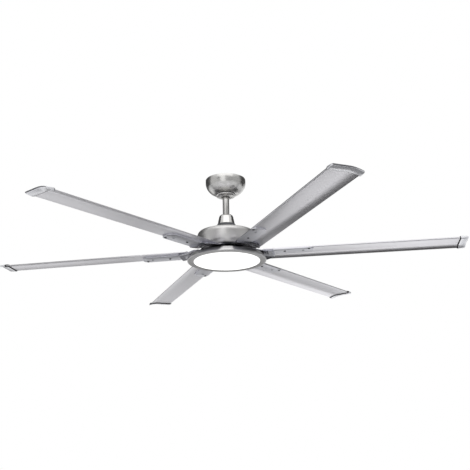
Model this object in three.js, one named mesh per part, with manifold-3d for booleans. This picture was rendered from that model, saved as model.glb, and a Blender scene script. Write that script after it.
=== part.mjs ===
// Ceiling fan with six long extruded blades, a downrod and a flat round light.
// Millimetres, +Z up. The origin is on the fan's axis in the ceiling plane, so heights
// below the ceiling are negative. Blade 1 points along +X, and seen from above the blades
// turn clockwise, with each leading edge on the -Y side of its own arm.
import * as THREE from 'three';
import { mergeVertices } from 'three/addons/utils/BufferGeometryUtils.js';
import Module from 'manifold-3d';

const wasm = await Module();
wasm.setup();

// Whole fan
const ARMS = 6;
const TIP_RADIUS = 915;
const BLADE_DROOP = THREE.MathUtils.degToRad(0.49);

// Clearances and facets
const SEAT_GAP = 0.3;
const HOLE_GAP = 0.3;
const RUNNING_GAP = 1.2;
const OVERRUN = 3;
const LARGE_SIDES = 28;
const MEDIUM_SIDES = 20;
const SCREW_SIDES = 6;

// Ceiling plate
const PLATE_LENGTH = 126;
const PLATE_WIDTH = 46;
const PLATE_GAUGE = 2.5;
const PLATE_CORNER = 6;
const CEILING_SLOT_SPACING = 70;
const CEILING_SLOT_LENGTH = 10;
const CEILING_SLOT_WIDTH = 5.5;
const SLOT_SEGMENTS = 8;

// Hanger strap under the plate, with the saddle that carries the ball
const STRAP_GAUGE = 2.5;
const STRAP_FOOT_LENGTH = 20;
const SADDLE_LENGTH = 68;
const SADDLE_HOLE_RADIUS = 17;
const ROD_ENTRY_GAP = 1;
const TAB_WIDTH = 5;
const TAB_GAUGE = 2.5;
const TAB_HEIGHT = 11;
const TAB_PLAY = 1;
const TAB_SWING_PLAY = 3;
const KEYWAY_FLOOR_RADIUS = 15.5;
const STRAP_SCREW_RADIUS = 2;
const STRAP_SCREW_HEAD_RADIUS = 4;
const STRAP_SCREW_HEAD_HEIGHT = 2.5;

// Remote control receiver
const RECEIVER_LENGTH = 54;
const RECEIVER_WIDTH = 40;
const RECEIVER_HEIGHT = 16;
const RECEIVER_CORNER = 4;

// Hanger ball
const BALL_DROP = 43;
const BALL_RADIUS = 21;
const BALL_ARC_STEPS = 6;
const BALL_PIN_RADIUS = 3;
const BALL_PIN_LENGTH = 37;
const BALL_PIN_RISE = 7;
const BALL_SCREW_RADIUS = 2.5;
const BALL_SCREW_LENGTH = 6.5;

// Canopy and the cover that hides its screws
const CANOPY_RADIUS = 80.5;
const CANOPY_RIM = 12;
const CANOPY_DEPTH = 66;
const CANOPY_WALL = 1.5;
const CANOPY_HOLE_RADIUS = 20;
const CANOPY_CEILING_GAP = 0.5;
const CANOPY_ARC_STEPS = 6;
const COVER_RADIUS = 40;
const COVER_WALL = 1.2;
const COVER_RIM = 1;
const COVER_BULGE = 9;
const COVER_HOLE_RADIUS = 16.5;
const COVER_ARC_STEPS = 3;
const CANOPY_SCREW_SPACING = 58;
const CANOPY_SCREW_RADIUS = 2;
const CANOPY_SCREW_HEAD_RADIUS = 4;
const CANOPY_SCREW_HEAD_HEIGHT = 2.2;

// Downrod
const ROD_RADIUS = 13;
const ROD_WALL = 2;
const ROD_STAND = 2;

// Yoke at the top of the motor
const YOKE_DROP = 158;
const YOKE_RADIUS = 19.5;
const YOKE_SOCKET_DEPTH = 42;
const YOKE_FLANGE_RADIUS = 34;
const YOKE_FLANGE_THICKNESS = 5;
const ROD_PIN_RADIUS = 3.5;
const ROD_PIN_DEPTH = 14;
const ROD_PIN_STAND = 5;
const CLIP_WIRE_RADIUS = 1;
const CLIP_LENGTH = 16;
const CLIP_INSET = 2.5;
const YOKE_SCREW_RADIUS = 3;
const YOKE_SCREW_DEPTH = 28;
const YOKE_SCREW_STAND = 3;

// Coupling cover over the yoke
const COUPLING_STAND = 8.5;
const COUPLING_RADIUS = 37;
const COUPLING_WALL = 1.5;
const COUPLING_ROD_GAP = 0.6;
// radius share, height share from the top
const couplingShares = [
  [0.54, 0],
  [0.675, 0.053],
  [0.757, 0.14],
  [0.797, 0.259],
  [0.855, 0.419],
  [0.895, 0.555],
  [0.945, 0.789],
  [1, 1],
];

// Motor housing
const HOUSING_YOKE_GAP = 10;
const HOUSING_HEIGHT = 82;
const HOUSING_RADIUS = 115.5;
const HOUSING_TOP_RADIUS = 38;
const HOUSING_WALL = 1.5;
// radius share, height share from the top
const housingShares = [
  [0.62, 0.1],
  [0.9, 0.18],
  [0.955, 0.21],
  [0.985, 0.27],
  [1, 0.4],
  [0.978, 0.53],
  [0.915, 0.77],
  [0.823, 1],
];
const HOUSING_SCREWS = 3;
const HOUSING_SCREW_CIRCLE = 27;
const HOUSING_SCREW_RADIUS = 2;
const HOUSING_SCREW_HEAD_RADIUS = 3.6;
const HOUSING_SCREW_HEAD_HEIGHT = 2;

// Motor
const SHAFT_RADIUS = 10.5;
const SHAFT_BORE_RADIUS = 7.7;
const SHAFT_INSET = 1.5;
const SHAFT_STAND = 13;
const BEARING_RADIUS = 18;
const BEARING_HEIGHT = 8;
const BEARING_INSET = 1;
const ROTOR_INSET = 22;
const ROTOR_RADIUS = 82;
const ROTOR_PLATE = 4;
const ROTOR_SKIRT_WALL = 4;
const ROTOR_SKIRT_HEIGHT = 29;
const ROTOR_RIM_WIDTH = 7;
const ROTOR_RIM_THICKNESS = 3;
const ROTOR_BOSS_RADIUS = 26;
const ROTOR_BOSS_HEIGHT = 6;
const ROTOR_FLOOR = 5;
const ROTOR_SCREWS = 6;
const ROTOR_SCREW_RADIUS = 1.6;
const ROTOR_SCREW_HEAD_RADIUS = 3;
const ROTOR_SCREW_HEAD_HEIGHT = 2;
const MAGNET_THICKNESS = 4;
const MAGNET_INSET = 3;
const CORE_HEIGHT = 20;
const CORE_HUB_RADIUS = 33;
const CORE_TEETH = 9;
const TOOTH_WIDTH = 12;
const SHOE_DEPTH = 5;
const SHOE_ANGLE = THREE.MathUtils.degToRad(33);
const COIL_SIDE = 4;
const COIL_INSET = 4.5;
const JUMPER_WIDTH = 5;
const JUMPER_HEIGHT = 2;

// Neck and ring that carry the blade brackets
const NECK_RADIUS = 60;
const NECK_WALL = 6;
const NECK_FLANGE_RADIUS = 90;
const NECK_FLANGE_THICKNESS = 4.7;
const HUB_RING_GAP = 4;
const HUB_RING_RADIUS = 105;
const HUB_RING_THICKNESS = 6;
const HUB_RING_CHAMFER = 1.5;
const HUB_SCREW_CIRCLE = 80;
const HUB_SCREW_SPACING = 28;
const HUB_SCREW_RADIUS = 2.5;
const HUB_SCREW_HEAD_RADIUS = 4.5;
const HUB_SCREW_HEAD_HEIGHT = 2.4;

// Blade section, across the arm: flat from the leading nose to the knee, then a curved flap
const BLADE_LEADING = -22;
const BLADE_KNEE = 35;
const BLADE_TRAILING = 81;
const BLADE_FLAP_DROP = 9;
const BLADE_THICKNESS = 6;
const BLADE_EDGE_THICKNESS = 2.4;
const BLADE_WALL = 1.3;
const BLADE_WEB = 14;
const BLADE_CHAMBER_END = 62;
const BLADE_ROOT_RADIUS = 146;
const BLADE_RING_GAP = 4;
const FLAP_STEPS = 4;
const NOSE_STEPS = 4;

// Blade end cap: how far it stands proud of the blade at its rim, at its end wall and at its tip,
// where its edges are cut back inside the blade's outline
const CAP_LENGTH = 28;
const CAP_RIM_PROUD = 3.2;
const CAP_WALL_PROUD = 1.4;
const CAP_TIP_PROUD = -0.6;
const CAP_END_WALL = 4;
const CAP_NUB_RADIUS = 2.2;
const CAP_NUB_HEIGHT = 1.6;
const CAP_NUB_SHIFT = 10;

// Blade bracket
const BRACKET_GAUGE = 4;
const BRACKET_INNER_RADIUS = 66;
const BRACKET_BEND_RADIUS = 112;
const BRACKET_SEAT_LEAD = 4;
const BRACKET_TIP_RADIUS = 340;
const BRACKET_LEADING = -28;
const BRACKET_TRAILING = 33;
const BRACKET_ROOT_HALF = 24;
const BRACKET_TIP_CORNER = 24;
const SHOULDER_INNER_RADIUS = 100;
const SHOULDER_TURN_RADIUS = 150;
const SHOULDER_OUTER_RADIUS = 187;
const SHOULDER_RUNOUT = 6;
const SHOULDER_REACH = 79;
const SHOULDER_TURN_REACH = 56;
const SHOULDER_DEPTH = 9;
// each blade screw: share of the way from the blade's root to the bracket's tip, then from the
// bracket's leading edge to its trailing edge
const bladeScrewShares = [
  [0.034, 0.43],
  [0.423, 0.46],
  [0.789, 0.475],
  [0.912, 0.164],
];
const BLADE_SCREW_RADIUS = 2.4;
const BLADE_SCREW_HEAD_RADIUS = 4.6;
const BLADE_SCREW_HEAD_HEIGHT = 2.2;

// Light kit
const ADAPTER_RING_GAP = 1;
const ADAPTER_HEIGHT = 19;
const ADAPTER_BRACKET_GAP = 10;
const ADAPTER_WALL = 2;
const ADAPTER_FLANGE_WIDTH = 12;
const NUT_RADIUS = 17;
const NUT_HEIGHT = 8;
const NUT_SIDES = 6;
const DRIVER_GAP = 2;
const DRIVER_LENGTH = 46;
const DRIVER_WIDTH = 28;
const DRIVER_HEIGHT = 14;
const DRIVER_CORNER = 3;
const PAN_RING_GAP = 0.5;
const PAN_WALL = 1.5;
const PAN_DEPTH = 12;
const PAN_HOLE_RADIUS = 30;
const PAN_SCREWS = 3;
const PAN_SCREW_RADIUS = 2;
const PAN_SCREW_HEAD_RADIUS = 3.6;
const PAN_SCREW_HEAD_HEIGHT = 2;
const POSTS = 4;
const POST_INSET = 16;
const POST_RADIUS = 4;
const POST_HEIGHT = 7;
const BOARD_MARGIN = 15.5;
const BOARD_THICKNESS = 1.6;
const LED_RINGS = 2;
const LED_RING_STEP = 48;
const LEDS_PER_RING = 6;
const LED_SIZE = 5;
const LED_HEIGHT = 1.2;
const RING_LIP_WIDTH = 25;
const RING_TOP_INSET = 10;
const RING_WALL = 1.5;
const RING_BAND = 3;
const RING_CHAMFER = 2;
const LENS_RADIUS = 129.5;
const LENS_THICKNESS = 2;
const LENS_FLANGE = 6;
const LIGHT_DEPTH = 20;

// Wiring inside the rod and shaft
const WIRE_RADIUS = 1.7;
const WIRE_PIN_GAP = 0.4;
const WIRE_STAND = 3;

// Colours, roughness and metalness
const satinNickel = new THREE.MeshStandardMaterial({ color: 0xb9b8b5, roughness: 0.35, metalness: 1 });
const silverBlade = new THREE.MeshStandardMaterial({ color: 0xbcbcc2, roughness: 0.45, metalness: 0.9 });
const castMetal = new THREE.MeshStandardMaterial({ color: 0x8e8f94, roughness: 0.5, metalness: 0.9 });
const darkMetal = new THREE.MeshStandardMaterial({ color: 0x2b2c2f, roughness: 0.5, metalness: 0.6 });
const zincSteel = new THREE.MeshStandardMaterial({ color: 0xa7a9ab, roughness: 0.4, metalness: 1 });
const blackPlastic = new THREE.MeshStandardMaterial({ color: 0x1c1c1e, roughness: 0.6, metalness: 0 });
const copper = new THREE.MeshStandardMaterial({ color: 0xb06a3b, roughness: 0.4, metalness: 0.8 });
const siliconSteel = new THREE.MeshStandardMaterial({ color: 0x7b7d80, roughness: 0.6, metalness: 0.9 });
const magnetFerrite = new THREE.MeshStandardMaterial({ color: 0x3a3a3d, roughness: 0.7, metalness: 0.2 });
const whiteBoard = new THREE.MeshStandardMaterial({ color: 0xeeeeea, roughness: 0.6, metalness: 0 });
const opalLens = new THREE.MeshStandardMaterial({ color: 0xfafaf7, roughness: 0.35, metalness: 0 });
const wireSleeve = new THREE.MeshStandardMaterial({ color: 0x333336, roughness: 0.7, metalness: 0 });

const fan = new THREE.Group();

function add(parent, name, geometry, material) {
  const mesh = new THREE.Mesh(toGeometry(toSolid(geometry)), material);
  mesh.name = name;
  parent.add(mesh);
  return mesh;
}

// Copies of one piece, named with their number
function addEach(parent, name, pieces, material) {
  pieces.forEach((piece, i) => add(parent, `${name}_${i + 1}`, piece, material));
}

// Closed mesh to solid: vertices merged, slivers at the poles of turned pieces left out
function toSolid(geometry) {
  const bare = geometry.clone();
  bare.deleteAttribute('normal');
  bare.deleteAttribute('uv');
  const merged = mergeVertices(bare);
  const index = merged.index.array;
  const kept = [];
  for (let i = 0; i < index.length; i += 3) {
    const [a, b, c] = [index[i], index[i + 1], index[i + 2]];
    if (a !== b && b !== c && c !== a) kept.push(a, b, c);
  }
  const vertProperties = new Float32Array(merged.attributes.position.array);
  const triVerts = new Uint32Array(kept);
  return new wasm.Manifold(new wasm.Mesh({ numProp: 3, vertProperties, triVerts }));
}

function toGeometry(solid) {
  const mesh = solid.getMesh();
  const geometry = new THREE.BufferGeometry();
  geometry.setAttribute('position', new THREE.BufferAttribute(mesh.vertProperties, 3));
  geometry.setIndex(new THREE.BufferAttribute(mesh.triVerts, 1));
  return geometry;
}

function cut(body, ...tools) {
  let solid = toSolid(body);
  for (const tool of tools) solid = solid.subtract(toSolid(tool));
  return toGeometry(solid);
}

function join(body, ...others) {
  let solid = toSolid(body);
  for (const other of others) solid = solid.add(toSolid(other));
  return toGeometry(solid);
}

function common(body, other) {
  return toGeometry(toSolid(body).intersect(toSolid(other)));
}

// Turned piece about Z from a closed outline of [radius, height] points
function turned(points, sides) {
  const outline = points.map(([radius, height]) => new THREE.Vector2(radius, height));
  if (THREE.ShapeUtils.area(outline) < 0) outline.reverse();
  const onAxis = outline.findIndex((point, i) => point.x === 0 && outline.at(i - 1).x === 0);
  const ordered = onAxis < 0 ? outline : [...outline.slice(onAxis), ...outline.slice(0, onAxis)];
  if (onAxis < 0) ordered.push(ordered[0].clone());
  return new THREE.LatheGeometry(ordered, sides).rotateX(Math.PI / 2);
}

// Upright disc or ring from one height to another
function disc(radius, low, high, sides, bore = 0) {
  if (bore > 0) return turned([[bore, low], [radius, low], [radius, high], [bore, high]], sides);
  return turned([[0, low], [radius, low], [radius, high], [0, high]], sides);
}

// Block from its lowest and highest corners
function block(low, high) {
  const size = high.map((value, i) => value - low[i]);
  const middle = high.map((value, i) => (value + low[i]) / 2);
  return new THREE.BoxGeometry(...size).translate(...middle);
}

// Plate with rounded corners, standing on its lowest height
function roundedPlate(length, width, corner, low, high, curveSegments = 2) {
  const x = length / 2;
  const y = width / 2;
  const shape = new THREE.Shape();
  shape.absarc(x - corner, y - corner, corner, 0, Math.PI / 2);
  shape.absarc(corner - x, y - corner, corner, Math.PI / 2, Math.PI);
  shape.absarc(corner - x, corner - y, corner, Math.PI, 1.5 * Math.PI);
  shape.absarc(x - corner, corner - y, corner, 1.5 * Math.PI, 2 * Math.PI);
  const options = { depth: high - low, bevelEnabled: false, curveSegments };
  return new THREE.ExtrudeGeometry(shape, options).translate(0, 0, low);
}

// Parallel copy of an open path, on its left where the distance is positive
function beside(path, distance) {
  return path.map((point, i) => {
    const before = path[Math.max(i - 1, 0)];
    const after = path[Math.min(i + 1, path.length - 1)];
    const into = new THREE.Vector2(point[0] - before[0], point[1] - before[1]).normalize();
    const out = new THREE.Vector2(after[0] - point[0], after[1] - point[1]).normalize();
    if (into.length() === 0) into.copy(out);
    if (out.length() === 0) out.copy(into);
    const along = into.clone().add(out).normalize();
    const reach = distance / along.dot(out);
    return [point[0] - along.y * reach, point[1] + along.x * reach];
  });
}

// Solid through closed outlines of equally many [x, y, z] points, each at a greater x than the last
function lofted(outlines) {
  const count = outlines[0].length;
  const last = (outlines.length - 1) * count;
  const index = [];
  for (let start = 0; start < last; start += count) {
    for (let i = 0; i < count; i++) {
      const [a, b] = [start + i, start + ((i + 1) % count)];
      index.push(a, b, b + count, a, b + count, a + count);
    }
  }
  const end = outlines[0].map(([, y, z]) => new THREE.Vector2(y, z));
  for (const [a, b, c] of THREE.ShapeUtils.triangulateShape(end, [])) {
    index.push(c, b, a, last + a, last + b, last + c);
  }
  const geometry = new THREE.BufferGeometry();
  geometry.setAttribute('position', new THREE.Float32BufferAttribute(outlines.flat(2), 3));
  geometry.setIndex(index);
  return geometry;
}

// Closed outline of a sheet of constant gauge that follows a path
function sheetOutline(path, gauge) {
  return [...beside(path, gauge / 2), ...beside(path, -gauge / 2).reverse()];
}

// Quarter of an ellipse, from its outermost point down to its lowest point
function quarterEllipse(centreRadius, centreHeight, halfWidth, halfHeight, steps) {
  const points = [];
  for (let i = 0; i <= steps; i++) {
    const angle = (i / steps) * (Math.PI / 2);
    points.push([centreRadius + halfWidth * Math.cos(angle), centreHeight - halfHeight * Math.sin(angle)]);
  }
  return points;
}

// Flat-head screw about Z, head at the bottom, its seat at the given height
function screwUp(headRadius, headHeight, shankRadius, seat, top) {
  const outline = [
    [0, seat - headHeight],
    [headRadius, seat - headHeight],
    [headRadius, seat],
    [shankRadius, seat],
    [shankRadius, top],
    [0, top],
  ];
  return turned(outline, SCREW_SIDES);
}

// The same screw, head at the top
function screwDown(headRadius, headHeight, shankRadius, seat, bottom) {
  return screwUp(headRadius, headHeight, shankRadius, -seat, -bottom).rotateX(Math.PI);
}

function aroundAxis(geometry, count, radius, start = 0) {
  return Array.from({ length: count }, (_, i) =>
    geometry.clone().translate(radius, 0, 0).rotateZ(start + (i * 2 * Math.PI) / count));
}

function shapeOf(points) {
  return new THREE.Shape(points.map(([x, y]) => new THREE.Vector2(x, y)));
}

function extruded(shape, depth, curveSegments = 3) {
  return new THREE.ExtrudeGeometry(shape, { depth, bevelEnabled: false, curveSegments });
}

// Outline in the XZ plane, made as wide as asked along Y and centred on Y = 0
function acrossY(shape, width) {
  return extruded(shape, width).rotateX(Math.PI / 2).translate(0, width / 2, 0);
}

// Outline in the YZ plane, running along X from one distance to another
function alongX(shape, from, to) {
  return extruded(shape, to - from).rotateX(Math.PI / 2).rotateZ(Math.PI / 2).translate(from, 0, 0);
}

function pinX(radius, from, to, height, sides = SCREW_SIDES) {
  return disc(radius, from, to, sides).rotateY(Math.PI / 2).translate(0, 0, height);
}

function pinY(radius, from, to, height, sides = SCREW_SIDES) {
  return disc(radius, from, to, sides).rotateX(-Math.PI / 2).translate(0, 0, height);
}

// Outline of a shell with its outer face on the path and its wall to the right of it
function shellOutline(path, wall) {
  return [...path, ...beside(path, -wall).reverse()];
}

// Heights that several pieces share
const plateUnderside = -PLATE_GAUGE;
const strapFootTop = plateUnderside - SEAT_GAP;
const strapFootBottom = strapFootTop - STRAP_GAUGE;
const ballCentre = -BALL_DROP;
const ballSeatDepth = Math.sqrt(BALL_RADIUS ** 2 - SADDLE_HOLE_RADIUS ** 2);
const saddleTop = ballCentre - ballSeatDepth - SEAT_GAP;
const rodBoreRadius = ROD_RADIUS + SEAT_GAP;
const ballBoreHalf = Math.sqrt(BALL_RADIUS ** 2 - rodBoreRadius ** 2);
const ballPinHeight = ballCentre + BALL_PIN_RISE;
const rodTop = ballCentre + ballBoreHalf + ROD_STAND;
const yokeTop = -YOKE_DROP;
const yokeFloor = yokeTop - YOKE_SOCKET_DEPTH;
const rodBottom = yokeFloor + SEAT_GAP;
const rodPinHeight = yokeTop - ROD_PIN_DEPTH;
const yokeScrewHeight = yokeTop - YOKE_SCREW_DEPTH;
const couplingTop = yokeTop + COUPLING_STAND;
const housingTop = yokeFloor - HOUSING_YOKE_GAP;
const yokeFlangeTop = housingTop - HOUSING_WALL - SEAT_GAP;
const yokeFlangeBottom = yokeFlangeTop - YOKE_FLANGE_THICKNESS;
const rotorTop = housingTop - ROTOR_INSET;
const rotorPlateBottom = rotorTop - ROTOR_PLATE;
const rotorRimBottom = rotorPlateBottom - ROTOR_SKIRT_HEIGHT;
const rotorRimTop = rotorRimBottom + ROTOR_RIM_THICKNESS;
const rotorFloorTop = rotorRimBottom - SEAT_GAP;
const rotorFloorBottom = rotorFloorTop - ROTOR_FLOOR;
const rotorRimRadius = ROTOR_RADIUS + ROTOR_RIM_WIDTH;
const rotorScrewCircle = (ROTOR_RADIUS + rotorRimRadius) / 2;
const magnetRadius = ROTOR_RADIUS - ROTOR_SKIRT_WALL - SEAT_GAP;
const magnetBore = magnetRadius - MAGNET_THICKNESS;
const coreRadius = magnetBore - RUNNING_GAP;
const coreMiddle = (rotorPlateBottom + rotorRimBottom) / 2;
const hubRingTop = housingTop - HOUSING_HEIGHT - HUB_RING_GAP;
const hubRingBottom = hubRingTop - HUB_RING_THICKNESS;
const bladeHeight = hubRingBottom - BLADE_RING_GAP;
const neckBottom = hubRingTop + SEAT_GAP;
const neckFlangeTop = neckBottom + NECK_FLANGE_THICKNESS;
const bracketRootTop = hubRingBottom - SEAT_GAP;
const bracketRootBottom = bracketRootTop - BRACKET_GAUGE;
const shaftHoleRadius = SHAFT_RADIUS + SEAT_GAP;
const bearingHoleRadius = BEARING_RADIUS + SEAT_GAP;
const adapterTop = hubRingBottom - ADAPTER_RING_GAP;
const adapterRadius = BRACKET_INNER_RADIUS - ADAPTER_BRACKET_GAP;
const adapterFlangeRadius = adapterRadius + ADAPTER_FLANGE_WIDTH;
const shaftBottom = adapterTop - SHAFT_STAND;
const adapterCeiling = adapterTop - ADAPTER_WALL - SEAT_GAP;
const panTop = adapterTop - ADAPTER_HEIGHT;
const panUnderside = panTop - PAN_WALL;
const adapterFlangeBottom = panTop + SEAT_GAP;
const adapterFlangeTop = adapterFlangeBottom + ADAPTER_WALL;
const panScrewCircle = (adapterRadius + adapterFlangeRadius) / 2;
const postBottom = panUnderside - POST_HEIGHT;
const boardTop = postBottom - SEAT_GAP;
const boardBottom = boardTop - BOARD_THICKNESS;
const lensFace = panTop - LIGHT_DEPTH;
const ringRadius = LENS_RADIUS + RING_LIP_WIDTH;
const ringTopRadius = ringRadius - RING_TOP_INSET;
const panRadius = ringTopRadius - RING_WALL - PAN_RING_GAP;
const boardRadius = panRadius - PAN_WALL - BOARD_MARGIN;
const postCircle = boardRadius - POST_INSET;
const lensFlangeBottom = lensFace + RING_WALL + SEAT_GAP;

// Fixed to the ceiling

function ceilingPlate() {
  const plate = roundedPlate(PLATE_LENGTH, PLATE_WIDTH, PLATE_CORNER, plateUnderside, 0);
  const cutters = [];
  for (const side of [-1, 1]) {
    const slot = roundedPlate(CEILING_SLOT_LENGTH, CEILING_SLOT_WIDTH, CEILING_SLOT_WIDTH / 2,
      plateUnderside - OVERRUN, OVERRUN, SLOT_SEGMENTS);
    cutters.push(slot.translate((side * CEILING_SLOT_SPACING) / 2, 0, 0));
    const hole = disc(STRAP_SCREW_RADIUS + HOLE_GAP, plateUnderside - OVERRUN, OVERRUN, SCREW_SIDES);
    cutters.push(hole.translate(side * strapScrewReach, 0, 0));
  }
  return cut(plate, ...cutters);
}

const strapScrewReach = (PLATE_LENGTH - STRAP_FOOT_LENGTH) / 2;

function hangerStrap() {
  const footMiddle = strapFootTop - STRAP_GAUGE / 2;
  const saddleMiddle = saddleTop - STRAP_GAUGE / 2;
  const end = PLATE_LENGTH / 2;
  const half = SADDLE_LENGTH / 2;
  const path = [
    [-end, footMiddle],
    [STRAP_FOOT_LENGTH - end, footMiddle],
    [-half, saddleMiddle],
    [half, saddleMiddle],
    [end - STRAP_FOOT_LENGTH, footMiddle],
    [end, footMiddle],
  ];
  const strap = acrossY(shapeOf(sheetOutline(path, STRAP_GAUGE)), PLATE_WIDTH);
  const tabInner = SADDLE_HOLE_RADIUS + TAB_PLAY;
  const tab = block([-TAB_WIDTH / 2, -tabInner - TAB_GAUGE, saddleMiddle],
    [TAB_WIDTH / 2, -tabInner, saddleTop + TAB_HEIGHT]);
  const low = saddleTop - STRAP_GAUGE - OVERRUN;
  const high = saddleTop + OVERRUN;
  const entry = ROD_RADIUS + ROD_ENTRY_GAP;
  const cutters = [
    disc(SADDLE_HOLE_RADIUS, low, high, MEDIUM_SIDES),
    block([-entry, 0, low], [entry, PLATE_WIDTH, high]),
  ];
  for (const side of [-1, 1]) {
    const canopyHole = disc(CANOPY_SCREW_RADIUS + HOLE_GAP, low, high, SCREW_SIDES);
    cutters.push(canopyHole.translate((side * CANOPY_SCREW_SPACING) / 2, 0, 0));
    const footHole = disc(STRAP_SCREW_RADIUS + HOLE_GAP, strapFootBottom - OVERRUN, OVERRUN, SCREW_SIDES);
    cutters.push(footHole.translate(side * strapScrewReach, 0, 0));
  }
  return join(cut(strap, ...cutters), tab);
}

function strapScrews() {
  const seat = strapFootBottom - SEAT_GAP;
  const screw = screwUp(STRAP_SCREW_HEAD_RADIUS, STRAP_SCREW_HEAD_HEIGHT, STRAP_SCREW_RADIUS, seat, -SEAT_GAP);
  return aroundAxis(screw, 2, strapScrewReach);
}

function receiver() {
  const top = plateUnderside - SEAT_GAP;
  return roundedPlate(RECEIVER_LENGTH, RECEIVER_WIDTH, RECEIVER_CORNER, top - RECEIVER_HEIGHT, top);
}

// Canopy

const canopyArcWidth = CANOPY_RADIUS - CANOPY_HOLE_RADIUS;
const canopyArcHeight = CANOPY_DEPTH - CANOPY_RIM;

function canopyOutsideHeight(radius) {
  const share = (radius - CANOPY_HOLE_RADIUS) / canopyArcWidth;
  return -CANOPY_RIM - canopyArcHeight * Math.sqrt(1 - share ** 2);
}

const coverRimTop = canopyOutsideHeight(COVER_RADIUS - COVER_WALL) - SEAT_GAP;
const canopyScrewSeat = canopyOutsideHeight(CANOPY_SCREW_SPACING / 2 - CANOPY_SCREW_HEAD_RADIUS) - SEAT_GAP;

function canopy() {
  const outside = quarterEllipse(CANOPY_HOLE_RADIUS, -CANOPY_RIM, canopyArcWidth, canopyArcHeight,
    CANOPY_ARC_STEPS);
  const inside = quarterEllipse(CANOPY_HOLE_RADIUS, -CANOPY_RIM, canopyArcWidth - CANOPY_WALL,
    canopyArcHeight - CANOPY_WALL, CANOPY_ARC_STEPS);
  const rim = [[CANOPY_RADIUS - CANOPY_WALL, -CANOPY_CEILING_GAP], [CANOPY_RADIUS, -CANOPY_CEILING_GAP]];
  const bowl = turned([...rim, ...outside, ...inside.reverse()], LARGE_SIDES);
  const hole = disc(CANOPY_SCREW_RADIUS + HOLE_GAP, -CANOPY_DEPTH - OVERRUN, saddleTop, SCREW_SIDES);
  return cut(bowl, ...aroundAxis(hole, 2, CANOPY_SCREW_SPACING / 2));
}

function canopyCover() {
  const middle = coverRimTop - COVER_RIM;
  const width = COVER_RADIUS - COVER_HOLE_RADIUS;
  const outside = quarterEllipse(COVER_HOLE_RADIUS, middle, width, COVER_BULGE, COVER_ARC_STEPS);
  const inside = quarterEllipse(COVER_HOLE_RADIUS, middle, width - COVER_WALL, COVER_BULGE - COVER_WALL,
    COVER_ARC_STEPS);
  const rim = [[COVER_RADIUS - COVER_WALL, coverRimTop], [COVER_RADIUS, coverRimTop]];
  return turned([...rim, ...outside, ...inside.reverse()], MEDIUM_SIDES);
}

function canopyScrews() {
  const screw = screwUp(CANOPY_SCREW_HEAD_RADIUS, CANOPY_SCREW_HEAD_HEIGHT, CANOPY_SCREW_RADIUS,
    canopyScrewSeat, saddleTop);
  return aroundAxis(screw, 2, CANOPY_SCREW_SPACING / 2);
}

// Ball, rod and yoke

function hangerBall() {
  const limit = Math.asin(ballBoreHalf / BALL_RADIUS);
  const arc = [];
  for (let i = 0; i <= BALL_ARC_STEPS; i++) {
    const angle = limit * ((2 * i) / BALL_ARC_STEPS - 1);
    arc.push([BALL_RADIUS * Math.cos(angle), ballCentre + BALL_RADIUS * Math.sin(angle)]);
  }
  const keyHalf = TAB_WIDTH / 2 + TAB_PLAY;
  const keyway = block([-keyHalf, -BALL_RADIUS - OVERRUN, ballCentre - BALL_RADIUS],
    [keyHalf, -KEYWAY_FLOOR_RADIUS, saddleTop + TAB_HEIGHT + TAB_SWING_PLAY]);
  return cut(turned(arc, MEDIUM_SIDES),
    pinX(BALL_PIN_RADIUS + HOLE_GAP, -BALL_RADIUS - OVERRUN, BALL_RADIUS + OVERRUN, ballPinHeight),
    pinY(BALL_SCREW_RADIUS + HOLE_GAP, 0, BALL_RADIUS + OVERRUN, ballCentre),
    keyway);
}

function ballPin() {
  return pinX(BALL_PIN_RADIUS, -BALL_PIN_LENGTH / 2, BALL_PIN_LENGTH / 2, ballPinHeight);
}

function ballSetScrew() {
  const start = ROD_RADIUS + SEAT_GAP;
  return pinY(BALL_SCREW_RADIUS, start, start + BALL_SCREW_LENGTH, ballCentre);
}

function downrod() {
  const rod = disc(ROD_RADIUS, rodBottom, rodTop, MEDIUM_SIDES, ROD_RADIUS - ROD_WALL);
  const reach = ROD_RADIUS + OVERRUN;
  return cut(rod,
    pinX(BALL_PIN_RADIUS + HOLE_GAP, -reach, reach, ballPinHeight),
    pinX(ROD_PIN_RADIUS + HOLE_GAP, -reach, reach, rodPinHeight));
}

function motorYoke() {
  const outline = [
    [rodBoreRadius, yokeTop],
    [YOKE_RADIUS, yokeTop],
    [YOKE_RADIUS, yokeFlangeTop],
    [YOKE_FLANGE_RADIUS, yokeFlangeTop],
    [YOKE_FLANGE_RADIUS, yokeFlangeBottom],
    [shaftHoleRadius, yokeFlangeBottom],
    [shaftHoleRadius, yokeFloor],
    [rodBoreRadius, yokeFloor],
  ];
  const reach = YOKE_RADIUS + OVERRUN;
  const screwHole = disc(HOUSING_SCREW_RADIUS + HOLE_GAP, yokeFlangeBottom - OVERRUN,
    yokeFlangeTop + OVERRUN, SCREW_SIDES);
  return cut(turned(outline, MEDIUM_SIDES),
    pinX(ROD_PIN_RADIUS + HOLE_GAP, -reach, reach, rodPinHeight),
    pinY(YOKE_SCREW_RADIUS + HOLE_GAP, 0, reach, yokeScrewHeight),
    ...aroundAxis(screwHole, HOUSING_SCREWS, HOUSING_SCREW_CIRCLE, Math.PI / HOUSING_SCREWS));
}

const rodPinEnd = YOKE_RADIUS + ROD_PIN_STAND;
const clipReach = rodPinEnd - CLIP_INSET;

function rodPin() {
  const pin = pinX(ROD_PIN_RADIUS, -YOKE_RADIUS - ROD_PIN_STAND / 2, rodPinEnd, rodPinHeight);
  const high = rodPinHeight + ROD_PIN_RADIUS + OVERRUN;
  const low = rodPinHeight - ROD_PIN_RADIUS - OVERRUN;
  return cut(pin, disc(CLIP_WIRE_RADIUS + HOLE_GAP, low, high, SCREW_SIDES).translate(clipReach, 0, 0));
}

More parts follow.
